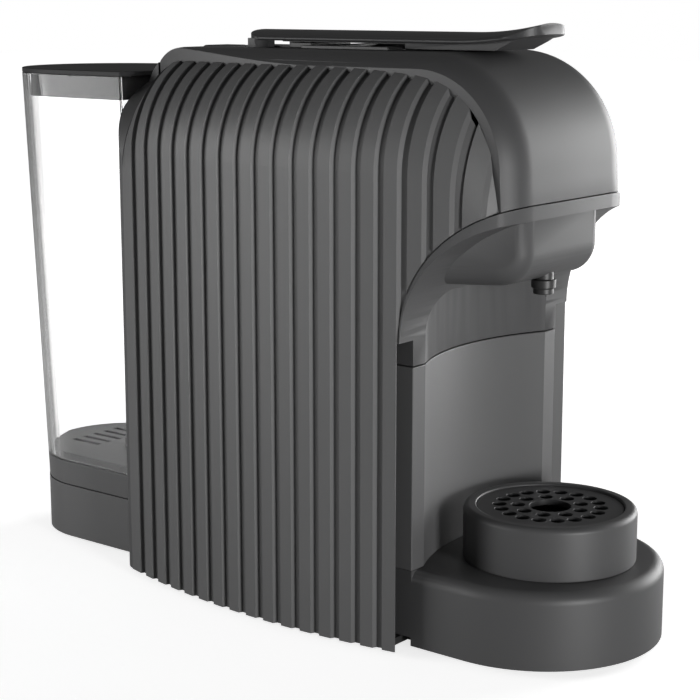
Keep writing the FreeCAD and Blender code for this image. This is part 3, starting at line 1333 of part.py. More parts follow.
def brew_frame():
    """Bracket on the deck: injector plate, cheeks and the rails' front plate."""
    rear = INJECTOR_FACE_Y + INJECTOR_STEP
    half = BREW_CHEEK_X + BREW_CHEEK_THICKNESS
    top_z = BREW_Z + INJECTOR_RADIUS - BREW_CHEEK_THICKNESS
    plate = block(-half, half, rear, rear + BREW_PLATE_THICKNESS, DECK_TOP_Z, top_z)
    front_z = RAIL_PLATE_Z
    front_y = RAIL_FRONT_Y
    deck_y = COLUMN_REAR_Y + FIT_GAP
    cheek_top = BREW_Z - 2.0 * BUSH_RADIUS
    cheek = side_prism(
        BREW_CHEEK_X, half,
        (deck_y, DECK_TOP_Z),
        (rear, DECK_TOP_Z),
        (rear, cheek_top),
        (front_y, cheek_top),
        (front_y, front_z),
        (deck_y, front_z),
    )
    gate = block(RAIL_X - BUSH_RADIUS, half, front_y, front_y + RAIL_PLATE, front_z, BREW_Z + BUSH_RADIUS)
    frame = plate.fuse(both_sides(cheek)).fuse(both_sides(gate))
    rail = rod(RAIL_RADIUS, (RAIL_X, front_y, BREW_Z), (RAIL_X, rear + BREW_PLATE_THICKNESS, BREW_Z))
    stem = rod(INJECTOR_STEM_RADIUS, (0, rear, BREW_Z), (0, rear + BREW_PLATE_THICKNESS, BREW_Z))
    return frame.cut(both_sides(rail)).cut(stem)


def guide_rails():
    """Two rods that the carriage slides on."""
    rear = INJECTOR_FACE_Y + INJECTOR_STEP + BREW_PLATE_THICKNESS
    rail = rod(RAIL_RADIUS, (RAIL_X, RAIL_FRONT_Y, BREW_Z), (RAIL_X, rear, BREW_Z))
    return group([rail, mirrored(rail)])


def injector():
    """Fixed water head with needles, on a stem through the brew frame's plate."""
    rear = INJECTOR_FACE_Y + INJECTOR_STEP
    head = rod(INJECTOR_RADIUS, (0, INJECTOR_FACE_Y, BREW_Z), (0, rear, BREW_Z))
    stem = rod(INJECTOR_STEM_RADIUS, (0, rear, BREW_Z), (0, rear + BREW_PLATE_THICKNESS, BREW_Z))
    needles = []
    for index in range(NEEDLE_COUNT):
        angle = 2.0 * math.pi * index / NEEDLE_COUNT
        x = NEEDLE_RING * math.cos(angle)
        z = BREW_Z + NEEDLE_RING * math.sin(angle)
        needles.append(Part.makeCone(
            NEEDLE_RADIUS, 0.2 * NEEDLE_RADIUS, NEEDLE_LENGTH,
            FreeCAD.Vector(x, INJECTOR_FACE_Y, z), FreeCAD.Vector(0, -1, 0)))
    bore = rod(SPOUT_BORE_RADIUS, (0, INJECTOR_FACE_Y, BREW_Z), (0, rear + BREW_PLATE_THICKNESS, BREW_Z))
    return head.fuse(stem).fuse(needles).cut(bore)


def pod_chute():
    """Square guide under the pod opening."""
    rear = INJECTOR_FACE_Y
    ahead = INJECTOR_FACE_Y - CARRIAGE_TRAVEL - CUP_FACE_GAP
    z1 = TOP_Z - COVER_WALL
    z0 = z1 - SLOT_REACH
    half = SLOT_HALF_WIDTH
    outer = block(-half - SLOT_WALL, half + SLOT_WALL, ahead - SLOT_WALL, rear + SLOT_WALL, z0, z1)
    return outer.cut(block(-half, half, ahead, rear, z0, z1))


def coffee_funnel():
    """Trough that leads coffee from the cup's outlet to the spout."""
    rear_y = cup_mouth_y() - POD_DEPTH - CUP_WALL - FUNNEL_CLEAR
    front_y = SPOUT_Y - FUNNEL_WALL - SPOUT_BORE_RADIUS - 1.0
    half = FUNNEL_HALF_WIDTH
    stem_z = NOSE_UNDERSIDE_Z + NOSE_WALL + SPOUT_COLLAR_HEIGHT
    low = stem_z + FUNNEL_RISE
    rear_low = low + FUNNEL_SLOPE * (rear_y - SPOUT_Y)
    outer = side_prism(
        -half, half,
        (front_y, low), (SPOUT_Y + SPOUT_COLLAR_RADIUS, low), (rear_y, rear_low),
        (rear_y, rear_low + FUNNEL_DEPTH), (front_y, low + FUNNEL_DEPTH))
    inner = side_prism(
        -half + FUNNEL_WALL, half - FUNNEL_WALL,
        (front_y + FUNNEL_WALL, low + FUNNEL_WALL), (SPOUT_Y + SPOUT_COLLAR_RADIUS, low + FUNNEL_WALL),
        (rear_y - FUNNEL_WALL, rear_low + FUNNEL_WALL - FUNNEL_SLOPE * FUNNEL_WALL),
        (rear_y - FUNNEL_WALL, TOP_Z), (front_y + FUNNEL_WALL, TOP_Z))
    outlet = rod(SPOUT_STEM_RADIUS, (0, SPOUT_Y, stem_z), (0, SPOUT_Y, low))
    hole = rod(SPOUT_BORE_RADIUS, (0, SPOUT_Y, stem_z), (0, SPOUT_Y, low + 2.0 * FUNNEL_WALL))
    return outer.cut(inner).fuse(outlet).cut(hole)


def brew_button():
    """Push button: a block with a rounded top and a stem down to its switch."""
    cap_z = BUTTON_TOP_Z - BUTTON_DEPTH
    cap = button_box(0.0, cap_z, BUTTON_TOP_Z)
    edges = [e for e in cap.Edges if e.CenterOfMass.z > BUTTON_TOP_Z - 0.1]
    cap = cap.makeFillet(BUTTON_EDGE_RADIUS, edges)
    stem_z = SWITCH_TOP_Z + BUTTON_TRAVEL + FIT_GAP
    return cap.fuse(rod(BUTTON_STEM_RADIUS, (0, BUTTON_Y, stem_z), (0, BUTTON_Y, cap_z)))


def button_switch():
    """Switch held in the lower end of the button's guide."""
    return button_box(BUTTON_GAP - 0.5 * FIT_GAP, SWITCH_TOP_Z - SWITCH_HEIGHT, SWITCH_TOP_Z)


def button_spring():
    """Coil spring between the switch and the button."""
    cap_z = BUTTON_TOP_Z - BUTTON_DEPTH
    length = cap_z - SWITCH_TOP_Z - 2.0 * SPRING_WIRE_RADIUS - FIT_GAP
    base_z = SWITCH_TOP_Z + SPRING_WIRE_RADIUS + 0.5 * FIT_GAP
    edges = []
    quarters = 4 * SPRING_TURNS
    for quarter in range(quarters):
        points = []
        for share in (0.0, 0.5, 1.0):
            angle = 0.5 * math.pi * (quarter + share)
            height = base_z + length * (quarter + share) / quarters
            points.append(FreeCAD.Vector(
                SPRING_RADIUS * math.cos(angle), BUTTON_Y + SPRING_RADIUS * math.sin(angle), height))
        edges.append(Part.Arc(*points).toShape())
    path = Part.Wire(edges)
    tangent = edges[0].tangentAt(edges[0].FirstParameter)
    ring = Part.Wire([Part.makeCircle(SPRING_WIRE_RADIUS, edges[0].Vertexes[0].Point, tangent)])
    return path.makePipeShell([ring], True, False)


def pump():
    """Vibration pump: a square coil on a round body, its inlet below and its outlet on top."""
    front_y = PUMP_Y - 0.5 * PUMP_LENGTH
    rear_y = PUMP_Y + 0.5 * PUMP_LENGTH
    half = PUMP_HALF_WIDTH
    coil = block(
        -half, half, PUMP_Y - 0.5 * PUMP_COIL_LENGTH, PUMP_Y + 0.5 * PUMP_COIL_LENGTH,
        PUMP_AXIS_Z - half, PUMP_AXIS_Z + half)
    body = rod(PUMP_BODY_RADIUS, (0, front_y, PUMP_AXIS_Z), (0, rear_y, PUMP_AXIS_Z))
    inlet = rod(PORT_RADIUS, (0, INTAKE_Y, intake_z()), (0, INTAKE_Y, PUMP_AXIS_Z))
    outlet = rod(PORT_RADIUS, (0, RISER_Y, PUMP_AXIS_Z), (0, RISER_Y, riser_z()))
    barb = rod(HOSE_BORE, (0, RISER_Y, riser_z()), (0, RISER_Y, riser_z() + BARB_LENGTH))
    return coil.fuse(body).fuse(inlet).fuse(outlet).fuse(barb)


def intake_z():
    """Lower end of the pump's inlet."""
    return PUMP_AXIS_Z - PUMP_BODY_RADIUS - FIT_GAP


def riser_z():
    """Upper end of the pump's outlet, just over its coil."""
    return PUMP_AXIS_Z + PUMP_HALF_WIDTH + FIT_GAP


def pump_mounts():
    """Two rubber blocks under the pump's coil."""
    half = PUMP_HALF_WIDTH - MOUNT_INSET
    blocks = []
    for y in (PUMP_Y - MOUNT_SPACING, PUMP_Y + MOUNT_SPACING):
        blocks.append(block(
            -half, half, y - 0.5 * MOUNT_LENGTH, y + 0.5 * MOUNT_LENGTH,
            PLATE_TOP_Z, PUMP_AXIS_Z - PUMP_HALF_WIDTH))
    return group(blocks)


def pressure_hose():
    """Straight hose from the pump's outlet up through the deck to the heater."""
    return tube(HOSE_RADIUS, HOSE_BORE, (0, RISER_Y, riser_z()), (0, RISER_Y, HEATER_BOTTOM_Z))


def thermoblock():
    """Ribbed block heater on four legs, with a barb for the pressure hose."""
    heater = block(
        -HEATER_HALF_WIDTH, HEATER_HALF_WIDTH, HEATER_FRONT_Y, HEATER_REAR_Y, HEATER_BOTTOM_Z, HEATER_TOP_Z)
    fins = []
    pitch = (HEATER_TOP_Z - HEATER_BOTTOM_Z) / HEATER_FINS
    for index in range(HEATER_FINS):
        z = HEATER_BOTTOM_Z + (index + 0.5) * pitch
        fins.append(block(
            -HEATER_HALF_WIDTH - FIN_DEPTH, HEATER_HALF_WIDTH + FIN_DEPTH,
            HEATER_FRONT_Y + FIN_DEPTH, HEATER_REAR_Y - FIN_DEPTH,
            z - 0.25 * pitch, z + 0.25 * pitch))
    legs = []
    reach_x = HEATER_HALF_WIDTH - LEG_RADIUS
    for x in (-reach_x, reach_x):
        for y in (HEATER_FRONT_Y + LEG_RADIUS, HEATER_REAR_Y - LEG_RADIUS):
            legs.append(rod(LEG_RADIUS, (x, y, DECK_TOP_Z), (x, y, HEATER_BOTTOM_Z)))
    barb = rod(HOSE_BORE, (0, RISER_Y, HEATER_BOTTOM_Z - BARB_LENGTH), (0, RISER_Y, HEATER_BOTTOM_Z))
    return heater.fuse(fins).fuse(legs).fuse(barb)


def thermostat():
    """Round temperature switch on top of the heater's rear half."""
    z1 = HEATER_TOP_Z + THERMOSTAT_HEIGHT
    return rod(THERMOSTAT_RADIUS, (0, THERMOSTAT_Y, HEATER_TOP_Z), (0, THERMOSTAT_Y, z1))


def brew_tube():
    """Short tube from the heater to the injector's stem."""
    rear = INJECTOR_FACE_Y + INJECTOR_STEP + BREW_PLATE_THICKNESS
    return tube(HOSE_RADIUS, HOSE_BORE, (0, rear, BREW_Z), (0, HEATER_FRONT_Y, BREW_Z))


def flow_meter():
    """Round flow meter on the base plate, with a raised cap."""
    z1 = PLATE_TOP_Z + METER_HEIGHT
    body = rod(METER_RADIUS, (METER_X, METER_Y, PLATE_TOP_Z), (METER_X, METER_Y, z1))
    cap = rod(METER_RADIUS - METER_STEP, (METER_X, METER_Y, z1), (METER_X, METER_Y, z1 + METER_STEP))
    ports = rod(
        PORT_RADIUS, (METER_X, METER_Y - meter_reach(), HOSE_Z), (METER_X, METER_Y + meter_reach(), HOSE_Z))
    return body.fuse(cap).fuse(ports)


def meter_reach():
    """Half length across the flow meter's two ports."""
    return METER_RADIUS + METER_STEP


def hose_core(radius, corners):
    """Round bar along straight runs with a quarter bend at each inner corner."""
    points = [FreeCAD.Vector(*corner) for corner in corners]
    bar = None
    start = points[0]
    for before, corner, after in zip(points, points[1:], points[2:]):
        inward = (corner - before).normalize()
        outward = (after - corner).normalize()
        stop = corner - inward * HOSE_BEND
        centre = stop + outward * HOSE_BEND
        disc = Part.Face(Part.Wire([Part.makeCircle(radius, stop, inward)]))
        elbow = disc.revolve(centre, inward.cross(outward), 90.0)
        run = rod(radius, start, stop).fuse(elbow)
        bar = run if bar is None else bar.fuse(run)
        start = corner + outward * HOSE_BEND
    return bar.fuse(rod(radius, start, points[-1]))


def hose(*corners):
    """Hose of the common bore along straight runs and quarter bends."""
    return hose_core(HOSE_RADIUS, corners).cut(hose_core(HOSE_BORE, corners))


def suction_hose():
    """Hose from the inlet socket round to the back of the flow meter."""
    return hose(
        (0, socket_face_y(), HOSE_Z),
        (0, HOSE_RUN_Y, HOSE_Z),
        (METER_X, HOSE_RUN_Y, HOSE_Z),
        (METER_X, METER_Y + meter_reach(), HOSE_Z),
    )


def feed_hose():
    """Hose from the front of the flow meter across and up to the pump's inlet."""
    return hose(
        (METER_X, METER_Y - meter_reach(), HOSE_Z),
        (METER_X, INTAKE_Y, HOSE_Z),
        (0, INTAKE_Y, HOSE_Z),
        (0, INTAKE_Y, intake_z()),
    )


def control_board():
    """Circuit board in the base plate's clips, with a relay and a row of terminals."""
    z0 = PLATE_TOP_Z + FIT_GAP
    board = block(BOARD_X, BOARD_X + BOARD_THICKNESS, BOARD_FRONT_Y, BOARD_REAR_Y, z0, BOARD_TOP_Z)
    middle = 0.5 * (BOARD_FRONT_Y + BOARD_REAR_Y)
    relay = block(
        BOARD_X - RELAY_DEPTH, BOARD_X, middle - 0.5 * RELAY_LENGTH, middle + 0.5 * RELAY_LENGTH,
        BOARD_TOP_Z - 2.0 * RELAY_DEPTH, BOARD_TOP_Z - RELAY_DEPTH)
    terminals = block(
        BOARD_X - 0.5 * RELAY_DEPTH, BOARD_X, middle - 0.5 * RELAY_LENGTH, middle + 0.5 * RELAY_LENGTH,
        0.5 * BOARD_TOP_Z - 0.5 * RELAY_DEPTH, 0.5 * BOARD_TOP_Z)
    return board.fuse(relay).fuse(terminals)


def cord_gland():
    """Collar in the rear wall where the mains lead enters."""
    inside_y = REAR_WALL_Y - COVER_WALL
    outside_y = REAR_WALL_Y + GLAND_FLANGE
    collar = rod(GLAND_RADIUS, (GLAND_X, inside_y, GLAND_Z), (GLAND_X, REAR_WALL_Y, GLAND_Z))
    rim = rod(GLAND_RADIUS + GLAND_FLANGE, (GLAND_X, REAR_WALL_Y, GLAND_Z), (GLAND_X, outside_y, GLAND_Z))
    bore = rod(GLAND_BORE, (GLAND_X, inside_y, GLAND_Z), (GLAND_X, outside_y, GLAND_Z))
    return collar.fuse(rim).cut(bore)


def post_screw(x):
    """Screw up through the base plate into one of the frame's posts."""
    head_z = PLATE_Z + SCREW_HEAD
    head = rod(2.0 * SCREW_RADIUS, (x, POST_Y, PLATE_Z), (x, POST_Y, head_z))
    return head.fuse(rod(SCREW_RADIUS, (x, POST_Y, head_z), (x, POST_Y, PLATE_TOP_Z + SCREW_LENGTH)))


def base_screws():
    """The two screws that hold the frame's posts to the base plate."""
    return group([post_screw(-POST_X), post_screw(POST_X)])


PIECES = {
    "left_side_panel": side_panel,
    "top_cover": top_cover,
    "pod_bezel": pod_bezel,
    "rear_cover": rear_cover,
    "brew_head_shroud": brew_head_shroud,
    "spout_nozzle": spout_nozzle,
    "drip_tray": drip_tray,
    "column_front": column_front,
    "capsule_bin": capsule_bin,
    "cup_stand": cup_stand,
    "cup_grid": cup_grid,
    "base_plate": base_plate,
    "rubber_feet": rubber_feet,
    "main_frame": main_frame,
    "base_screws": base_screws,
    "tank_seat": tank_seat,
    "inlet_socket": inlet_socket,
    "inlet_seal": inlet_seal,
    "water_tank": water_tank,
    "tank_base": tank_base,
    "tank_insert": tank_insert,
    "tank_lid": tank_lid,
    "valve_poppet": valve_poppet,
    "lever_handle": lever_handle,
    "drive_pin": drive_pin,
    "lever_bracket": lever_bracket,
    "lever_pivot_pin": lever_pivot_pin,
    "lever_rest": lever_rest,
    "brew_carriage": brew_carriage,
    "brew_cup": brew_cup,
    "brew_frame": brew_frame,
    "guide_rails": guide_rails,
    "injector": injector,
    "pod_chute": pod_chute,
    "coffee_funnel": coffee_funnel,
    "brew_button": brew_button,
    "button_switch": button_switch,
    "button_spring": button_spring,
    "pump": pump,
    "pump_mounts": pump_mounts,
    "pressure_hose": pressure_hose,
    "thermoblock": thermoblock,
    "thermostat": thermostat,
    "brew_tube": brew_tube,
    "flow_meter": flow_meter,
    "suction_hose": suction_hose,
    "feed_hose": feed_hose,
    "control_board": control_board,
    "cord_gland": cord_gland,
}

os.makedirs("parts", exist_ok=True)
for piece_name, make_piece in PIECES.items():
    save(piece_name, make_piece())
save("right_side_panel", mirrored(side_panel()))
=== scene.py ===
"""Looks of a pod coffee machine with ribbed side shells, dressed over its solids."""

import json
import logging
from dataclasses import dataclass, field
from enum import Enum
from math import pi, radians

import bmesh
import bpy
from mathutils import Matrix, Vector

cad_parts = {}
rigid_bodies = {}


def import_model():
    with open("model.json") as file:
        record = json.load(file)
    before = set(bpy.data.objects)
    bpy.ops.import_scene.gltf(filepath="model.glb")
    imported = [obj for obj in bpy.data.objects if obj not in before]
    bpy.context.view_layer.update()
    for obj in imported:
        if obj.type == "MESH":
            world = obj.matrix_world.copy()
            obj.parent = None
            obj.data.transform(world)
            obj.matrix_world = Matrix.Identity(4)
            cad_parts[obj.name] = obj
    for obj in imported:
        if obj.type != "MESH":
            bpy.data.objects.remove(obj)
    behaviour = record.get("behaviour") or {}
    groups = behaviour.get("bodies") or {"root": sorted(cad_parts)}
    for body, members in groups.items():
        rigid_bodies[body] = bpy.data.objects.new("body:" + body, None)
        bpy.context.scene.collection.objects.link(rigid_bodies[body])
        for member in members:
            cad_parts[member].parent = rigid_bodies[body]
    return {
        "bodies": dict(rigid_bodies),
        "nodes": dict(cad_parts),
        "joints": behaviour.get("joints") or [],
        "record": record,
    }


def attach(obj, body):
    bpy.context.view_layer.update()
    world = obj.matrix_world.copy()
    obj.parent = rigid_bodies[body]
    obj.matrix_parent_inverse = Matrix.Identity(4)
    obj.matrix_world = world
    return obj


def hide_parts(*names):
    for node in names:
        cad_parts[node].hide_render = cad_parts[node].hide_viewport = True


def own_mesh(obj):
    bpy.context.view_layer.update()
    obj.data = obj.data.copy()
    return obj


LOG = logging.getLogger("coffee_machine")
MIRRORED_SHARE = 0.1
JOINED_SHARP = radians(40.0)
WIRE_SIDES = 8
RING_SIDES = 48


class Grain(Enum):
    """Moulded textures, by the number of grains to a metre."""

    FINE = 2600.0
    SATIN = 1900.0
    COARSE = 1200.0


class Edge(Enum):
    """Radius that the mould leaves on sharp edges, in metres."""

    CRISP = 0.0002
    SOFT = 0.0004
    ROUND = 0.0007


def new_socket(
    tree: bpy.types.NodeTree, name: str, direction: str, kind: str, value: float | None = None
) -> bpy.types.NodeTreeInterfaceSocket:
    """Add a named socket to a node group.

    Args:
        tree: The node group.
        name: Socket name.
        direction: INPUT or OUTPUT.
        kind: Socket type.
        value: Default value, if it has one.

    Returns:
        The new socket.
    """
    socket = tree.interface.new_socket(name=name, in_out=direction, socket_type=kind)
    if value is not None:
        socket.default_value = value
    return socket


def math_node(
    tree: bpy.types.NodeTree, operation: str, *values: float | bpy.types.NodeSocket
) -> bpy.types.NodeSocket:
    """Add a Math node.

    Args:
        tree: The tree to add it to.
        operation: What it works out.
        values: Its inputs, as numbers or as sockets to link.

    Returns:
        Its output.
    """
    node = tree.nodes.new("ShaderNodeMath")
    node.operation = operation
    for index, value in enumerate(values):
        if isinstance(value, bpy.types.NodeSocket):
            tree.links.new(value, node.inputs[index])
        else:
            node.inputs[index].default_value = value
    return node.outputs[0]


def moulded_grain_group() -> bpy.types.ShaderNodeTree:
    """Build the node group of moulded plastic: fine grain, cloudy tone and uneven gloss.

    Returns:
        The node group, with outputs for tone, roughness and height.
    """
    tree = bpy.data.node_groups.new("moulded_grain", "ShaderNodeTree")
    new_socket(tree, "Grain Scale", "INPUT", "NodeSocketFloat", Grain.SATIN.value)
    new_socket(tree, "Cloud Scale", "INPUT", "NodeSocketFloat", 22.0)
    new_socket(tree, "Tone Spread", "INPUT", "NodeSocketFloat", 0.12)
    new_socket(tree, "Roughness", "INPUT", "NodeSocketFloat", 0.4)
    new_socket(tree, "Roughness Spread", "INPUT", "NodeSocketFloat", 0.08)
    for name in ("Tone", "Roughness", "Height"):
        new_socket(tree, name, "OUTPUT", "NodeSocketFloat")
    entry = tree.nodes.new("NodeGroupInput")
    leave = tree.nodes.new("NodeGroupOutput")
    place = tree.nodes.new("ShaderNodeTexCoord")
    grain = tree.nodes.new("ShaderNodeTexNoise")
    grain.inputs["Detail"].default_value = 3.0
    cloud = tree.nodes.new("ShaderNodeTexNoise")
    cloud.inputs["Detail"].default_value = 4.0
    for noise, scale in ((grain, "Grain Scale"), (cloud, "Cloud Scale")):
        tree.links.new(place.outputs["Object"], noise.inputs["Vector"])
        tree.links.new(entry.outputs[scale], noise.inputs["Scale"])
    centred = math_node(tree, "SUBTRACT", cloud.outputs["Fac"], 0.5)
    tone = math_node(tree, "MULTIPLY_ADD", centred, entry.outputs["Tone Spread"], 1.0)
    rough = math_node(
        tree, "MULTIPLY_ADD", centred, entry.outputs["Roughness Spread"], entry.outputs["Roughness"])
    tree.links.new(tone, leave.inputs["Tone"])
    tree.links.new(rough, leave.inputs["Roughness"])
    tree.links.new(grain.outputs["Fac"], leave.inputs["Height"])
    return tree


@dataclass(frozen=True)
class MouldedPlastic:
    """Opaque moulded plastic, lacquer or rubber with a fine grain."""

    name: str
    colour: tuple[float, float, float]
    roughness: float = 0.4
    grain: Grain = Grain.FINE
    bump: float = 0.06
    specular: float = 0.5
    metallic: float = 0.0
    bump_depth: float = 0.0002

    def material(self, group: bpy.types.ShaderNodeTree) -> bpy.types.Material:
        """Build the material.

        Args:
            group: The shared grain group.

        Returns:
            The material.
        """
        material = bpy.data.materials.new(self.name)
        material.use_nodes = True
        nodes, links = material.node_tree.nodes, material.node_tree.links
        shader = nodes["Principled BSDF"]
        shader.inputs["Specular IOR Level"].default_value = self.specular
        shader.inputs["Metallic"].default_value = self.metallic
        grain = nodes.new("ShaderNodeGroup")
        grain.node_tree = group
        grain.inputs["Grain Scale"].default_value = self.grain.value
        grain.inputs["Roughness"].default_value = self.roughness
        tint = nodes.new("ShaderNodeMix")
        tint.data_type = "RGBA"
        tint.blend_type = "MULTIPLY"
        tint.inputs["Factor"].default_value = 1.0
        tint.inputs[6].default_value = (*self.colour, 1.0)
        links.new(grain.outputs["Tone"], tint.inputs[7])
        links.new(tint.outputs[2], shader.inputs["Base Color"])
        links.new(grain.outputs["Roughness"], shader.inputs["Roughness"])
        bump = nodes.new("ShaderNodeBump")
        bump.inputs["Strength"].default_value = self.bump
        bump.inputs["Distance"].default_value = self.bump_depth
        links.new(grain.outputs["Height"], bump.inputs["Height"])
        links.new(bump.outputs["Normal"], shader.inputs["Normal"])
        return material


@dataclass(frozen=True)
class ClearPlastic:
    """Clear tank plastic with slight waviness from the mould, and painted shade that darkens its colour
    where the surface is seen edge-on.
    """

    name: str
    colour: tuple[float, float, float]
    ior: float = 1.45
    roughness: float = 0.01
    wave_scale: float = 30.0
    wave: float = 0.02
    wave_depth: float = 0.001
    # Facing range and dark tone of the painted shade along the tank's grazing edges.
    painted_rim_shade_start: float = 0.53
    painted_rim_shade_end: float = 0.70
    painted_rim_shade: float = 0.06
    glint: float = 0.05

    def material(self, group: bpy.types.ShaderNodeTree) -> bpy.types.Material:
        """Build the material.

        Args:
            group: The shared grain group, whose height waves the surface.

        Returns:
            The material.
        """
        material = bpy.data.materials.new(self.name)
        material.use_nodes = True
        nodes, links = material.node_tree.nodes, material.node_tree.links
        shader = nodes["Principled BSDF"]
        # Painted shade: the base colour turns dark where the wall is seen edge-on, standing in for the
        # dark rims that refraction gives the thick walls.
        slant = nodes.new("ShaderNodeLayerWeight")
        edge = nodes.new("ShaderNodeMapRange")
        edge.inputs["From Min"].default_value = self.painted_rim_shade_start
        edge.inputs["From Max"].default_value = self.painted_rim_shade_end
        links.new(slant.outputs["Facing"], edge.inputs["Value"])
        tint = nodes.new("ShaderNodeMix")
        tint.data_type = "RGBA"
        tint.inputs[6].default_value = (*self.colour, 1.0)
        tint.inputs[7].default_value = (self.painted_rim_shade, self.painted_rim_shade, self.painted_rim_shade, 1.0)
        links.new(edge.outputs["Result"], tint.inputs["Factor"])
        links.new(tint.outputs[2], shader.inputs["Base Color"])
        shader.inputs["Transmission Weight"].default_value = 1.0
        shader.inputs["IOR"].default_value = self.ior
        shader.inputs["Specular Tint"].default_value = (self.glint, self.glint, self.glint, 1.0)
        shader.inputs["Roughness"].default_value = self.roughness
        wave = nodes.new("ShaderNodeGroup")
        wave.node_tree = group
        wave.inputs["Grain Scale"].default_value = self.wave_scale
        bump = nodes.new("ShaderNodeBump")
        bump.inputs["Strength"].default_value = self.wave
        bump.inputs["Distance"].default_value = self.wave_depth
        links.new(wave.outputs["Height"], bump.inputs["Height"])
        links.new(bump.outputs["Normal"], shader.inputs["Normal"])
        return material


class Finish(Enum):
    """Finishes of the machine's pieces."""

    SHELL = MouldedPlastic("shell_charcoal", (0.080, 0.080, 0.081), 0.48, Grain.SATIN, specular=0.4)
    STRIP = MouldedPlastic("strip_charcoal", (0.046, 0.046, 0.047), 0.5, specular=0.35)
    HEAD = MouldedPlastic("head_charcoal", (0.056, 0.056, 0.057), 0.52, specular=0.3)
    # Painted light: a lighter copy of the charcoal, set to brighten the column's front where the head
    # shades its recess.
    COLUMN = MouldedPlastic("column_charcoal", (0.082, 0.082, 0.083), 0.45, specular=0.35)
    TRAY = MouldedPlastic("tray_charcoal", (0.052, 0.052, 0.053), 0.5, specular=0.4)
    # Painted shade: a darker copy of the charcoal, set to tone down the light on the lever's tip; the
    # button and cup grid share it.
    LEVER = MouldedPlastic("lever_charcoal", (0.034, 0.034, 0.035), 0.45, specular=0.3)
    TRIM = MouldedPlastic("trim_black", (0.016, 0.016, 0.016), 0.45, Grain.SATIN)
    LID = MouldedPlastic("lid_grey", (0.030, 0.030, 0.031), 0.5, specular=0.1)
    INNER = MouldedPlastic("inner_black", (0.020, 0.020, 0.021), 0.5, Grain.COARSE)
    RUBBER = MouldedPlastic("foot_rubber", (0.018, 0.018, 0.018), 0.7, Grain.COARSE, 0.2)
    HOSE = MouldedPlastic("hose_silicone", (0.62, 0.62, 0.60), 0.4)
    COIL = MouldedPlastic("pump_lacquer", (0.16, 0.15, 0.15), 0.4, Grain.COARSE)
    BOARD = MouldedPlastic("board_green", (0.02, 0.10, 0.05), 0.35)
    STEEL = MouldedPlastic("turned_steel", (0.55, 0.55, 0.55), 0.3, Grain.COARSE, 0.1, metallic=1.0)
    CAST = MouldedPlastic("cast_aluminium", (0.60, 0.60, 0.60), 0.45, Grain.COARSE, 0.25, metallic=1.0)
    CLEAR = ClearPlastic("tank_clear", (1.0, 1.0, 1.0))


@dataclass(frozen=True)
class EdgeSoftener:
    """Copies a solid with its doubles merged and its sharp edges rounded as a mould leaves them."""

    width: float
    segments: int = 2
    sharp: float = radians(30.0)
    merge: float = 2e-6
    flat: float = radians(0.3)

    def copy(self, solid: bpy.types.Object) -> bpy.types.Object:
        """Make the rounded copy of a solid.

        Args:
            solid: The solid to copy.

        Returns:
            The copy, with its place in its mesh.
        """
        mesh = solid.data.copy()
        mesh.materials.clear()
        build = bmesh.new()
        build.from_mesh(mesh)
        bmesh.ops.remove_doubles(build, verts=build.verts, dist=self.merge)
        bmesh.ops.dissolve_limit(build, angle_limit=self.flat, verts=build.verts, edges=build.edges)
        for face in build.faces:
            face.smooth = True
        build.to_mesh(mesh)
        build.free()
        mesh.set_sharp_from_angle(angle=self.sharp)
        piece = new_piece(f"{solid.name}_skin", mesh)
        bevel = piece.modifiers.new("rounded_edges", "BEVEL")
        bevel.width = self.width
        bevel.segments = self.segments
        bevel.limit_method = "ANGLE"
        bevel.angle_limit = self.sharp
        bevel.use_clamp_overlap = True
        bevel.harden_normals = True
        return settle(piece)


def new_piece(name: str, mesh: bpy.types.Mesh) -> bpy.types.Object:
    """Put a mesh into the scene as an object at the origin.

    Args:
        name: Name of the object.
        mesh: Its mesh.

    Returns:
        The object.
    """
    piece = bpy.data.objects.new(name, mesh)
    bpy.context.scene.collection.objects.link(piece)
    return piece


def settle(piece: bpy.types.Object) -> bpy.types.Object:
    """Turn a piece's modifiers into plain mesh.

    Args:
        piece: The piece.

    Returns:
        The same piece with no modifiers.
    """
    bpy.context.view_layer.update()
    evaluated = piece.evaluated_get(bpy.context.evaluated_depsgraph_get())
    mesh = bpy.data.meshes.new_from_object(evaluated)
    piece.modifiers.clear()
    piece.data = mesh
    return piece


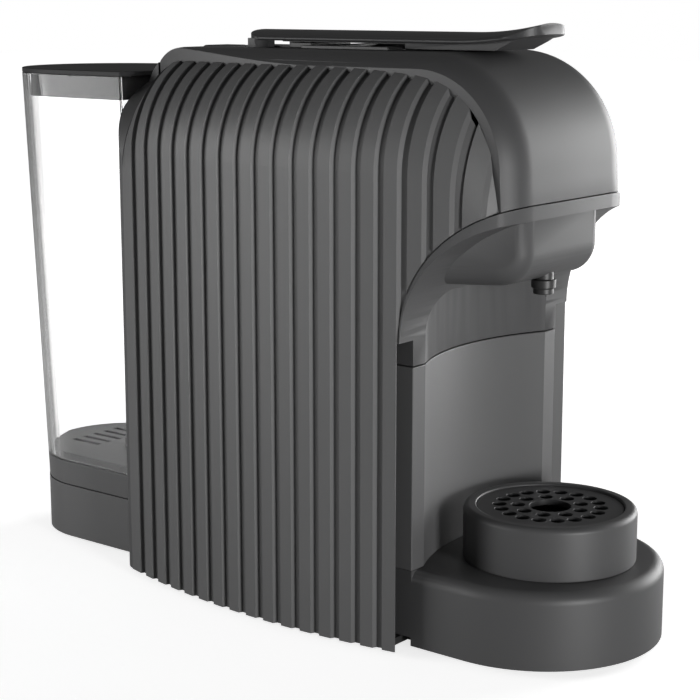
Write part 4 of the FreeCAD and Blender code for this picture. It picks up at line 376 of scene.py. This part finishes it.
@dataclass
class Workbench:
    """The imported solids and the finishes, with the calls that put one on the other."""

    frame: dict
    materials: dict[Finish, bpy.types.Material] = field(default_factory=dict)
    body_of: dict[str, str] = field(default_factory=dict)
    slot_of: dict[str, str] = field(default_factory=dict)

    def __post_init__(self) -> None:
        """Build each finish once and look up each node's body and slot."""
        group = moulded_grain_group()
        self.materials = {finish: finish.value.material(group) for finish in Finish}
        record = self.frame["record"]
        for body, nodes in record["behaviour"]["bodies"].items():
            self.body_of.update({node: body for node in nodes})
        self.slot_of = {part["node"]: part["material_slot"] for part in record["subparts"]}

    def coat(self, finish: Finish, *nodes: str) -> None:
        """Give solids a finish as they are.

        Args:
            finish: The finish.
            nodes: Names of the solids.
        """
        for node in nodes:
            mesh = self.frame["nodes"][node].data
            mesh.materials.clear()
            mesh.materials.append(self.materials[finish])
            LOG.info("%s in %s", node, finish.value.name)

    def skin(self, finish: Finish, edge: Edge, *nodes: str) -> list[bpy.types.Object]:
        """Stand a copy with rounded edges in for each solid.

        Args:
            finish: The finish.
            edge: Radius of the edges.
            nodes: Names of the solids.

        Returns:
            The copies.
        """
        pieces = []
        for node in nodes:
            self.coat(finish, node)
            piece = EdgeSoftener(edge.value).copy(self.frame["nodes"][node])
            self.mount(piece, finish, node)
            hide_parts(node)
            pieces.append(piece)
        return pieces

    def mount(self, piece: bpy.types.Object, finish: Finish, carrier: str) -> None:
        """Give a piece its finish and let it move with the solid that carries it.

        Args:
            piece: The piece.
            finish: The finish.
            carrier: Node that carries it.
        """
        piece.data.materials.clear()
        piece.data.materials.append(self.materials[finish])
        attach(piece, self.body_of[carrier])
        LOG.info("%s rides with %s", piece.name, self.body_of[carrier])


@dataclass
class RepeatTree:
    """Geometry Nodes tree that repeats a rod at even steps along a line."""

    name: str

    def build(self) -> bpy.types.GeometryNodeTree:
        """Build the tree.

        Returns:
            The tree, with inputs for the count, step, rod size and turn.
        """
        tree = bpy.data.node_groups.new(self.name, "GeometryNodeTree")
        new_socket(tree, "Count", "INPUT", "NodeSocketInt", 10)
        new_socket(tree, "Start", "INPUT", "NodeSocketVector")
        new_socket(tree, "Step", "INPUT", "NodeSocketVector")
        new_socket(tree, "Turn", "INPUT", "NodeSocketVector")
        new_socket(tree, "Radius", "INPUT", "NodeSocketFloat", 0.0003)
        new_socket(tree, "Length", "INPUT", "NodeSocketFloat", 0.05)
        new_socket(tree, "Material", "INPUT", "NodeSocketMaterial")
        new_socket(tree, "Geometry", "OUTPUT", "NodeSocketGeometry")
        nodes, links = tree.nodes, tree.links
        entry = nodes.new("NodeGroupInput")
        leave = nodes.new("NodeGroupOutput")
        line = nodes.new("GeometryNodeMeshLine")
        line.mode = "OFFSET"
        rod = nodes.new("GeometryNodeMeshCylinder")
        rod.inputs["Vertices"].default_value = WIRE_SIDES
        spread = nodes.new("GeometryNodeInstanceOnPoints")
        turn = nodes.new("FunctionNodeEulerToRotation")
        real = nodes.new("GeometryNodeRealizeInstances")
        paint = nodes.new("GeometryNodeSetMaterial")
        links.new(entry.outputs["Count"], line.inputs["Count"])
        links.new(entry.outputs["Start"], line.inputs["Start Location"])
        links.new(entry.outputs["Step"], line.inputs["Offset"])
        links.new(entry.outputs["Radius"], rod.inputs["Radius"])
        links.new(entry.outputs["Length"], rod.inputs["Depth"])
        links.new(entry.outputs["Turn"], turn.inputs["Euler"])
        links.new(line.outputs["Mesh"], spread.inputs["Points"])
        links.new(rod.outputs["Mesh"], spread.inputs["Instance"])
        links.new(turn.outputs["Rotation"], spread.inputs["Rotation"])
        links.new(spread.outputs["Instances"], real.inputs["Geometry"])
        links.new(real.outputs["Geometry"], paint.inputs["Geometry"])
        links.new(entry.outputs["Material"], paint.inputs["Material"])
        links.new(paint.outputs["Geometry"], leave.inputs["Geometry"])
        return tree


@dataclass
class RingTree:
    """Geometry Nodes tree that stacks rings at even steps, as the treads round a foot."""

    name: str

    def build(self) -> bpy.types.GeometryNodeTree:
        """Build the tree.

        Returns:
            The tree, with inputs for the count, step and the ring and wire sizes.
        """
        tree = bpy.data.node_groups.new(self.name, "GeometryNodeTree")
        new_socket(tree, "Count", "INPUT", "NodeSocketInt", 10)
        new_socket(tree, "Start", "INPUT", "NodeSocketVector")
        new_socket(tree, "Step", "INPUT", "NodeSocketVector")
        new_socket(tree, "Ring Radius", "INPUT", "NodeSocketFloat", 0.01)
        new_socket(tree, "Wire Radius", "INPUT", "NodeSocketFloat", 0.0005)
        new_socket(tree, "Material", "INPUT", "NodeSocketMaterial")
        new_socket(tree, "Geometry", "OUTPUT", "NodeSocketGeometry")
        nodes, links = tree.nodes, tree.links
        entry = nodes.new("NodeGroupInput")
        leave = nodes.new("NodeGroupOutput")
        line = nodes.new("GeometryNodeMeshLine")
        line.mode = "OFFSET"
        ring = nodes.new("GeometryNodeCurvePrimitiveCircle")
        ring.inputs["Resolution"].default_value = RING_SIDES
        wire = nodes.new("GeometryNodeCurvePrimitiveCircle")
        wire.inputs["Resolution"].default_value = WIRE_SIDES
        tube = nodes.new("GeometryNodeCurveToMesh")
        spread = nodes.new("GeometryNodeInstanceOnPoints")
        real = nodes.new("GeometryNodeRealizeInstances")
        paint = nodes.new("GeometryNodeSetMaterial")
        links.new(entry.outputs["Count"], line.inputs["Count"])
        links.new(entry.outputs["Start"], line.inputs["Start Location"])
        links.new(entry.outputs["Step"], line.inputs["Offset"])
        links.new(entry.outputs["Ring Radius"], ring.inputs["Radius"])
        links.new(entry.outputs["Wire Radius"], wire.inputs["Radius"])
        links.new(ring.outputs["Curve"], tube.inputs["Curve"])
        links.new(wire.outputs["Curve"], tube.inputs["Profile Curve"])
        links.new(line.outputs["Mesh"], spread.inputs["Points"])
        links.new(tube.outputs["Mesh"], spread.inputs["Instance"])
        links.new(spread.outputs["Instances"], real.inputs["Geometry"])
        links.new(real.outputs["Geometry"], paint.inputs["Geometry"])
        links.new(entry.outputs["Material"], paint.inputs["Material"])
        links.new(paint.outputs["Geometry"], leave.inputs["Geometry"])
        return tree


def grow(name: str, tree: bpy.types.GeometryNodeTree, **values: object) -> bpy.types.Object:
    """Make a piece from a Geometry Nodes tree.

    Args:
        name: Name of the piece.
        tree: The tree.
        values: Its inputs, with spaces in their names written as underscores.

    Returns:
        The piece as plain mesh.
    """
    piece = new_piece(name, bpy.data.meshes.new(name))
    modifier = piece.modifiers.new(name, "NODES")
    modifier.node_group = tree
    for socket in tree.interface.items_tree:
        key = socket.name.replace(" ", "_").lower()
        if socket.in_out == "INPUT" and key in values:
            modifier[socket.identifier] = values[key]
    return settle(piece)


def join(name: str, pieces: list[bpy.types.Object]) -> bpy.types.Object:
    """Join pieces of one body into one.

    Args:
        name: Name of the joined piece.
        pieces: The pieces, all at the origin.

    Returns:
        The joined piece.
    """
    build = bmesh.new()
    for piece in pieces:
        build.from_mesh(piece.data)
        bpy.data.objects.remove(piece)
    for face in build.faces:
        face.smooth = True
    mesh = bpy.data.meshes.new(name)
    build.to_mesh(mesh)
    build.free()
    mesh.set_sharp_from_angle(angle=JOINED_SHARP)
    return new_piece(name, mesh)


@dataclass
class Shells:
    """Ribbed sides, smooth strip over the top and back cover."""

    vent_half_width: float = 0.022
    vent_bottom: float = 0.120
    vent_top: float = 0.168
    vent_margin: float = 0.003
    rear_wall: float = 0.0025
    gauze_pitch: float = 0.0016
    gauze_wire: float = 0.0003

    def gauze(self, bench: Workbench) -> bpy.types.Object:
        """Weave the wire gauze that lies behind the vents of the back cover.

        Args:
            bench: The solids and finishes.

        Returns:
            The gauze.
        """
        rear_y = max(corner[1] for corner in bench.frame["nodes"]["rear_cover"].bound_box)
        y = rear_y - self.rear_wall - 2.0 * self.gauze_wire
        half = self.vent_half_width + self.vent_margin
        low = self.vent_bottom - self.vent_margin
        height = self.vent_top - self.vent_bottom + 2.0 * self.vent_margin
        tree = RepeatTree("gauze_wires").build()
        metal = bench.materials[Finish.STEEL]
        uprights = grow(
            "gauze_uprights", tree, count=int(2.0 * half / self.gauze_pitch) + 1,
            start=(-half, y, low + 0.5 * height), step=(self.gauze_pitch, 0.0, 0.0),
            radius=self.gauze_wire, length=height, material=metal)
        levels = grow(
            "gauze_levels", tree, count=int(height / self.gauze_pitch) + 1,
            start=(0.0, y - self.gauze_wire, low), step=(0.0, 0.0, self.gauze_pitch),
            turn=(0.0, 0.5 * pi, 0.0),
            radius=self.gauze_wire, length=2.0 * half, material=metal)
        return join("vent_gauze", [uprights, levels])

    def dress(self, bench: Workbench) -> None:
        """Give the shells their finishes.

        Args:
            bench: The solids and finishes.
        """
        bench.coat(Finish.SHELL, "left_side_panel", "right_side_panel")
        bench.skin(Finish.STRIP, Edge.SOFT, "top_cover", "rear_cover")
        bench.coat(Finish.TRIM, "main_frame", "base_plate", "cord_gland")
        bench.mount(self.gauze(bench), Finish.STEEL, "rear_cover")


@dataclass
class BrewHead:
    """Underside of the head, spout, lever and button with its spring."""

    button_travel: float = 0.002

    def spring(self, bench: Workbench) -> None:
        """Give the button's spring a rounded steel copy with a mesh of its own.

        Args:
            bench: The solids and finishes.
        """
        coil, = bench.skin(Finish.STEEL, Edge.CRISP, "button_spring")
        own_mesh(coil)

    def dress(self, bench: Workbench) -> None:
        """Give the head its finishes.

        Args:
            bench: The solids and finishes.
        """
        bench.skin(Finish.HEAD, Edge.SOFT, "brew_head_shroud")
        bench.skin(Finish.TRIM, Edge.SOFT, "spout_nozzle", "lever_rest", "pod_bezel")
        # Lever and button take the darker charcoal copy, painted shade for the lever tip.
        bench.skin(Finish.LEVER, Edge.SOFT, "lever_handle", "brew_button")
        self.spring(bench)


@dataclass
class DripDeck:
    """Drawer with the tray, column and bin, and the loose cup stand with its grid."""

    def dress(self, bench: Workbench) -> None:
        """Give the drawer and stand their finishes.

        Args:
            bench: The solids and finishes.
        """
        bench.skin(Finish.TRAY, Edge.ROUND, "drip_tray", "cup_stand")
        # The column takes the lighter charcoal copy, painted light for its shaded recess.
        bench.skin(Finish.COLUMN, Edge.SOFT, "column_front")
        bench.skin(Finish.LEVER, Edge.CRISP, "cup_grid")
        bench.coat(Finish.INNER, "capsule_bin")


@dataclass
class WaterTank:
    """Clear tank with its insert, lid and seat."""

    def dress(self, bench: Workbench) -> None:
        """Give the tank its finishes.

        Args:
            bench: The solids and finishes.
        """
        bench.skin(Finish.CLEAR, Edge.SOFT, "water_tank")
        bench.skin(Finish.LID, Edge.SOFT, "tank_lid")
        bench.skin(Finish.SHELL, Edge.SOFT, "tank_insert", "tank_seat", "tank_base")
        bench.coat(Finish.TRIM, "inlet_socket", "valve_poppet")
        bench.coat(Finish.RUBBER, "inlet_seal")


@dataclass
class Works:
    """Pieces inside the housing, with the feet under it."""

    foot_places: tuple[tuple[float, float], ...] = ((0.028, -0.140), (0.044, -0.010), (0.020, 0.135))
    foot_radius: float = 0.008
    tread_wire: float = 0.0002
    tread_pitch: float = 0.0008
    tread_count: int = 3

    def treads(self, bench: Workbench) -> bpy.types.Object:
        """Ring each foot with the fine treads of its moulding.

        Args:
            bench: The solids and finishes.

        Returns:
            The treads of all feet.
        """
        tree = RingTree("foot_tread").build()
        rings = []
        for x, y in self.foot_places:
            for side in (-1.0, 1.0):
                rings.append(grow(
                    "foot_rings", tree, count=self.tread_count, start=(side * x, y, self.tread_pitch),
                    step=(0.0, 0.0, self.tread_pitch), ring_radius=self.foot_radius,
                    wire_radius=self.tread_wire,
                    material=bench.materials[Finish.RUBBER]))
        return join("foot_treads", rings)

    def dress(self, bench: Workbench) -> None:
        """Give the inner pieces their finishes.

        Args:
            bench: The solids and finishes.
        """
        bench.coat(Finish.RUBBER, "rubber_feet", "pump_mounts")
        bench.mount(self.treads(bench), Finish.RUBBER, "rubber_feet")
        bench.coat(Finish.HOSE, "suction_hose", "feed_hose", "pressure_hose")
        bench.coat(Finish.COIL, "pump")
        bench.coat(Finish.BOARD, "control_board")
        bench.coat(Finish.CAST, "thermoblock", "brew_cup")
        bench.coat(
            Finish.STEEL, "lever_pivot_pin", "drive_pin", "guide_rails", "base_screws",
            "brew_tube", "injector", "thermostat")
        bench.coat(
            Finish.INNER, "lever_bracket", "brew_carriage", "brew_frame", "pod_chute", "coffee_funnel",
            "button_switch", "flow_meter")


@dataclass(frozen=True)
class Softbox:
    """Soft lamp beside the machine: its bearing from the front, distance, height, size and power."""

    name: str
    bearing: float
    distance: float
    height: float
    width: float
    tall: float
    power: float

    def build(self, aim: Vector) -> None:
        """Place the lamp, facing the machine.

        Args:
            aim: Point that it faces.
        """
        data = bpy.data.lights.new(self.name, "AREA")
        data.shape = "RECTANGLE"
        data.size = self.width
        data.size_y = self.tall
        data.energy = self.power
        lamp = bpy.data.objects.new(self.name, data)
        lamp.location = Matrix.Rotation(self.bearing, 3, "Z") @ Vector((0.0, -self.distance, self.height))
        lamp.rotation_euler = (aim - lamp.location).to_track_quat("-Z", "Y").to_euler()
        bpy.context.scene.collection.objects.link(lamp)


def seen_directly(tree: bpy.types.NodeTree) -> bpy.types.NodeSocket:
    """Mask of what the camera sees directly, through the tank or mirrored.

    Args:
        tree: The tree to add it to.

    Returns:
        The mask.
    """
    path = tree.nodes.new("ShaderNodeLightPath")
    either = math_node(tree, "MAXIMUM", path.outputs["Is Camera Ray"], path.outputs["Is Transmission Ray"])
    glossy = math_node(tree, "MULTIPLY", path.outputs["Is Glossy Ray"], MIRRORED_SHARE)
    return math_node(tree, "MAXIMUM", either, glossy)


@dataclass
class Studio:
    """Camera, lamps, floor and white surround."""

    eye: tuple[float, float, float] = (-0.5901, -0.4882, 0.2611)
    aim: tuple[float, float, float] = (0.0, -0.0182, 0.1081)
    lens: float = 89.37
    floor_half: float = 6.0
    floor_grey: float = 0.8
    floor_glow: float = 0.72
    fade_start: float = 0.22
    fade_end: float = 0.55
    fill: float = 0.05
    lamps: tuple[Softbox, ...] = (
        Softbox("right_softbox", radians(72.0), 1.3, 0.25, 0.9, 0.7, 22.0),
        Softbox("key_softbox", radians(-19.0), 1.6, 0.14, 0.3, 0.4, 24.0),
        Softbox("left_softbox", radians(-134.0), 1.3, 0.22, 0.8, 0.8, 14.0),
    )

    def camera(self) -> None:
        """Place the camera at the photograph's viewpoint."""
        data = bpy.data.cameras.new("camera")
        data.lens = self.lens
        data.sensor_width = 36.0
        data.clip_start = 0.01
        camera = bpy.data.objects.new("camera", data)
        camera.location = self.eye
        look = Vector(self.aim) - Vector(self.eye)
        camera.rotation_euler = look.to_track_quat("-Z", "Y").to_euler()
        bpy.context.scene.collection.objects.link(camera)
        bpy.context.scene.camera = camera

    def surround(self) -> None:
        """White surround for what is seen directly or through the tank, dim light otherwise."""
        world = bpy.data.worlds.new("surround")
        bpy.context.scene.world = world
        world.use_nodes = True
        tree = world.node_tree
        tree.nodes.clear()
        out = tree.nodes.new("ShaderNodeOutputWorld")
        seen = tree.nodes.new("ShaderNodeBackground")
        seen.inputs["Color"].default_value = (1.0, 1.0, 1.0, 1.0)
        light = tree.nodes.new("ShaderNodeBackground")
        light.inputs["Color"].default_value = (self.fill, self.fill, self.fill, 1.0)
        mix = tree.nodes.new("ShaderNodeMixShader")
        tree.links.new(seen_directly(tree), mix.inputs[0])
        tree.links.new(light.outputs[0], mix.inputs[1])
        tree.links.new(seen.outputs[0], mix.inputs[2])
        tree.links.new(mix.outputs[0], out.inputs["Surface"])

    def floor(self) -> None:
        """Pale floor that keeps the machine's shadow and fades to white around it."""
        mesh = bpy.data.meshes.new("floor")
        half = self.floor_half
        corners = [(-half, -half, 0), (half, -half, 0), (half, half, 0), (-half, half, 0)]
        mesh.from_pydata(corners, [], [(0, 1, 2, 3)])
        material = bpy.data.materials.new("pale_floor")
        material.use_nodes = True
        tree = material.node_tree
        shader = tree.nodes["Principled BSDF"]
        grey = self.floor_grey
        shader.inputs["Base Color"].default_value = (grey, grey, grey, 1.0)
        shader.inputs["Roughness"].default_value = 0.9
        shader.inputs["Specular IOR Level"].default_value = 0.0
        shader.inputs["Emission Color"].default_value = (1.0, 1.0, 1.0, 1.0)
        place = tree.nodes.new("ShaderNodeTexCoord")
        reach = tree.nodes.new("ShaderNodeVectorMath")
        reach.operation = "LENGTH"
        tree.links.new(place.outputs["Object"], reach.inputs[0])
        fade = tree.nodes.new("ShaderNodeMapRange")
        fade.interpolation_type = "SMOOTHSTEP"
        fade.inputs["From Min"].default_value = self.fade_start
        fade.inputs["From Max"].default_value = self.fade_end
        fade.inputs["To Min"].default_value = self.floor_glow
        fade.inputs["To Max"].default_value = 1.0
        tree.links.new(reach.outputs["Value"], fade.inputs["Value"])
        glow = math_node(tree, "MULTIPLY", seen_directly(tree), fade.outputs["Result"])
        tree.links.new(glow, shader.inputs["Emission Strength"])
        mesh.materials.append(material)
        new_piece("floor", mesh)

    def build(self) -> None:
        """Set up the whole studio."""
        bpy.context.scene.view_settings.view_transform = "Standard"
        self.camera()
        self.surround()
        self.floor()
        for lamp in self.lamps:
            lamp.build(Vector(self.aim))


def main() -> None:
    """Dress the machine and set up its studio."""
    logging.basicConfig(level=logging.INFO)
    bench = Workbench(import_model())
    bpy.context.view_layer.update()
    for assembly in (Shells(), BrewHead(), DripDeck(), WaterTank(), Works()):
        assembly.dress(bench)
    Studio().build()


if __name__ == "__main__":
    main()
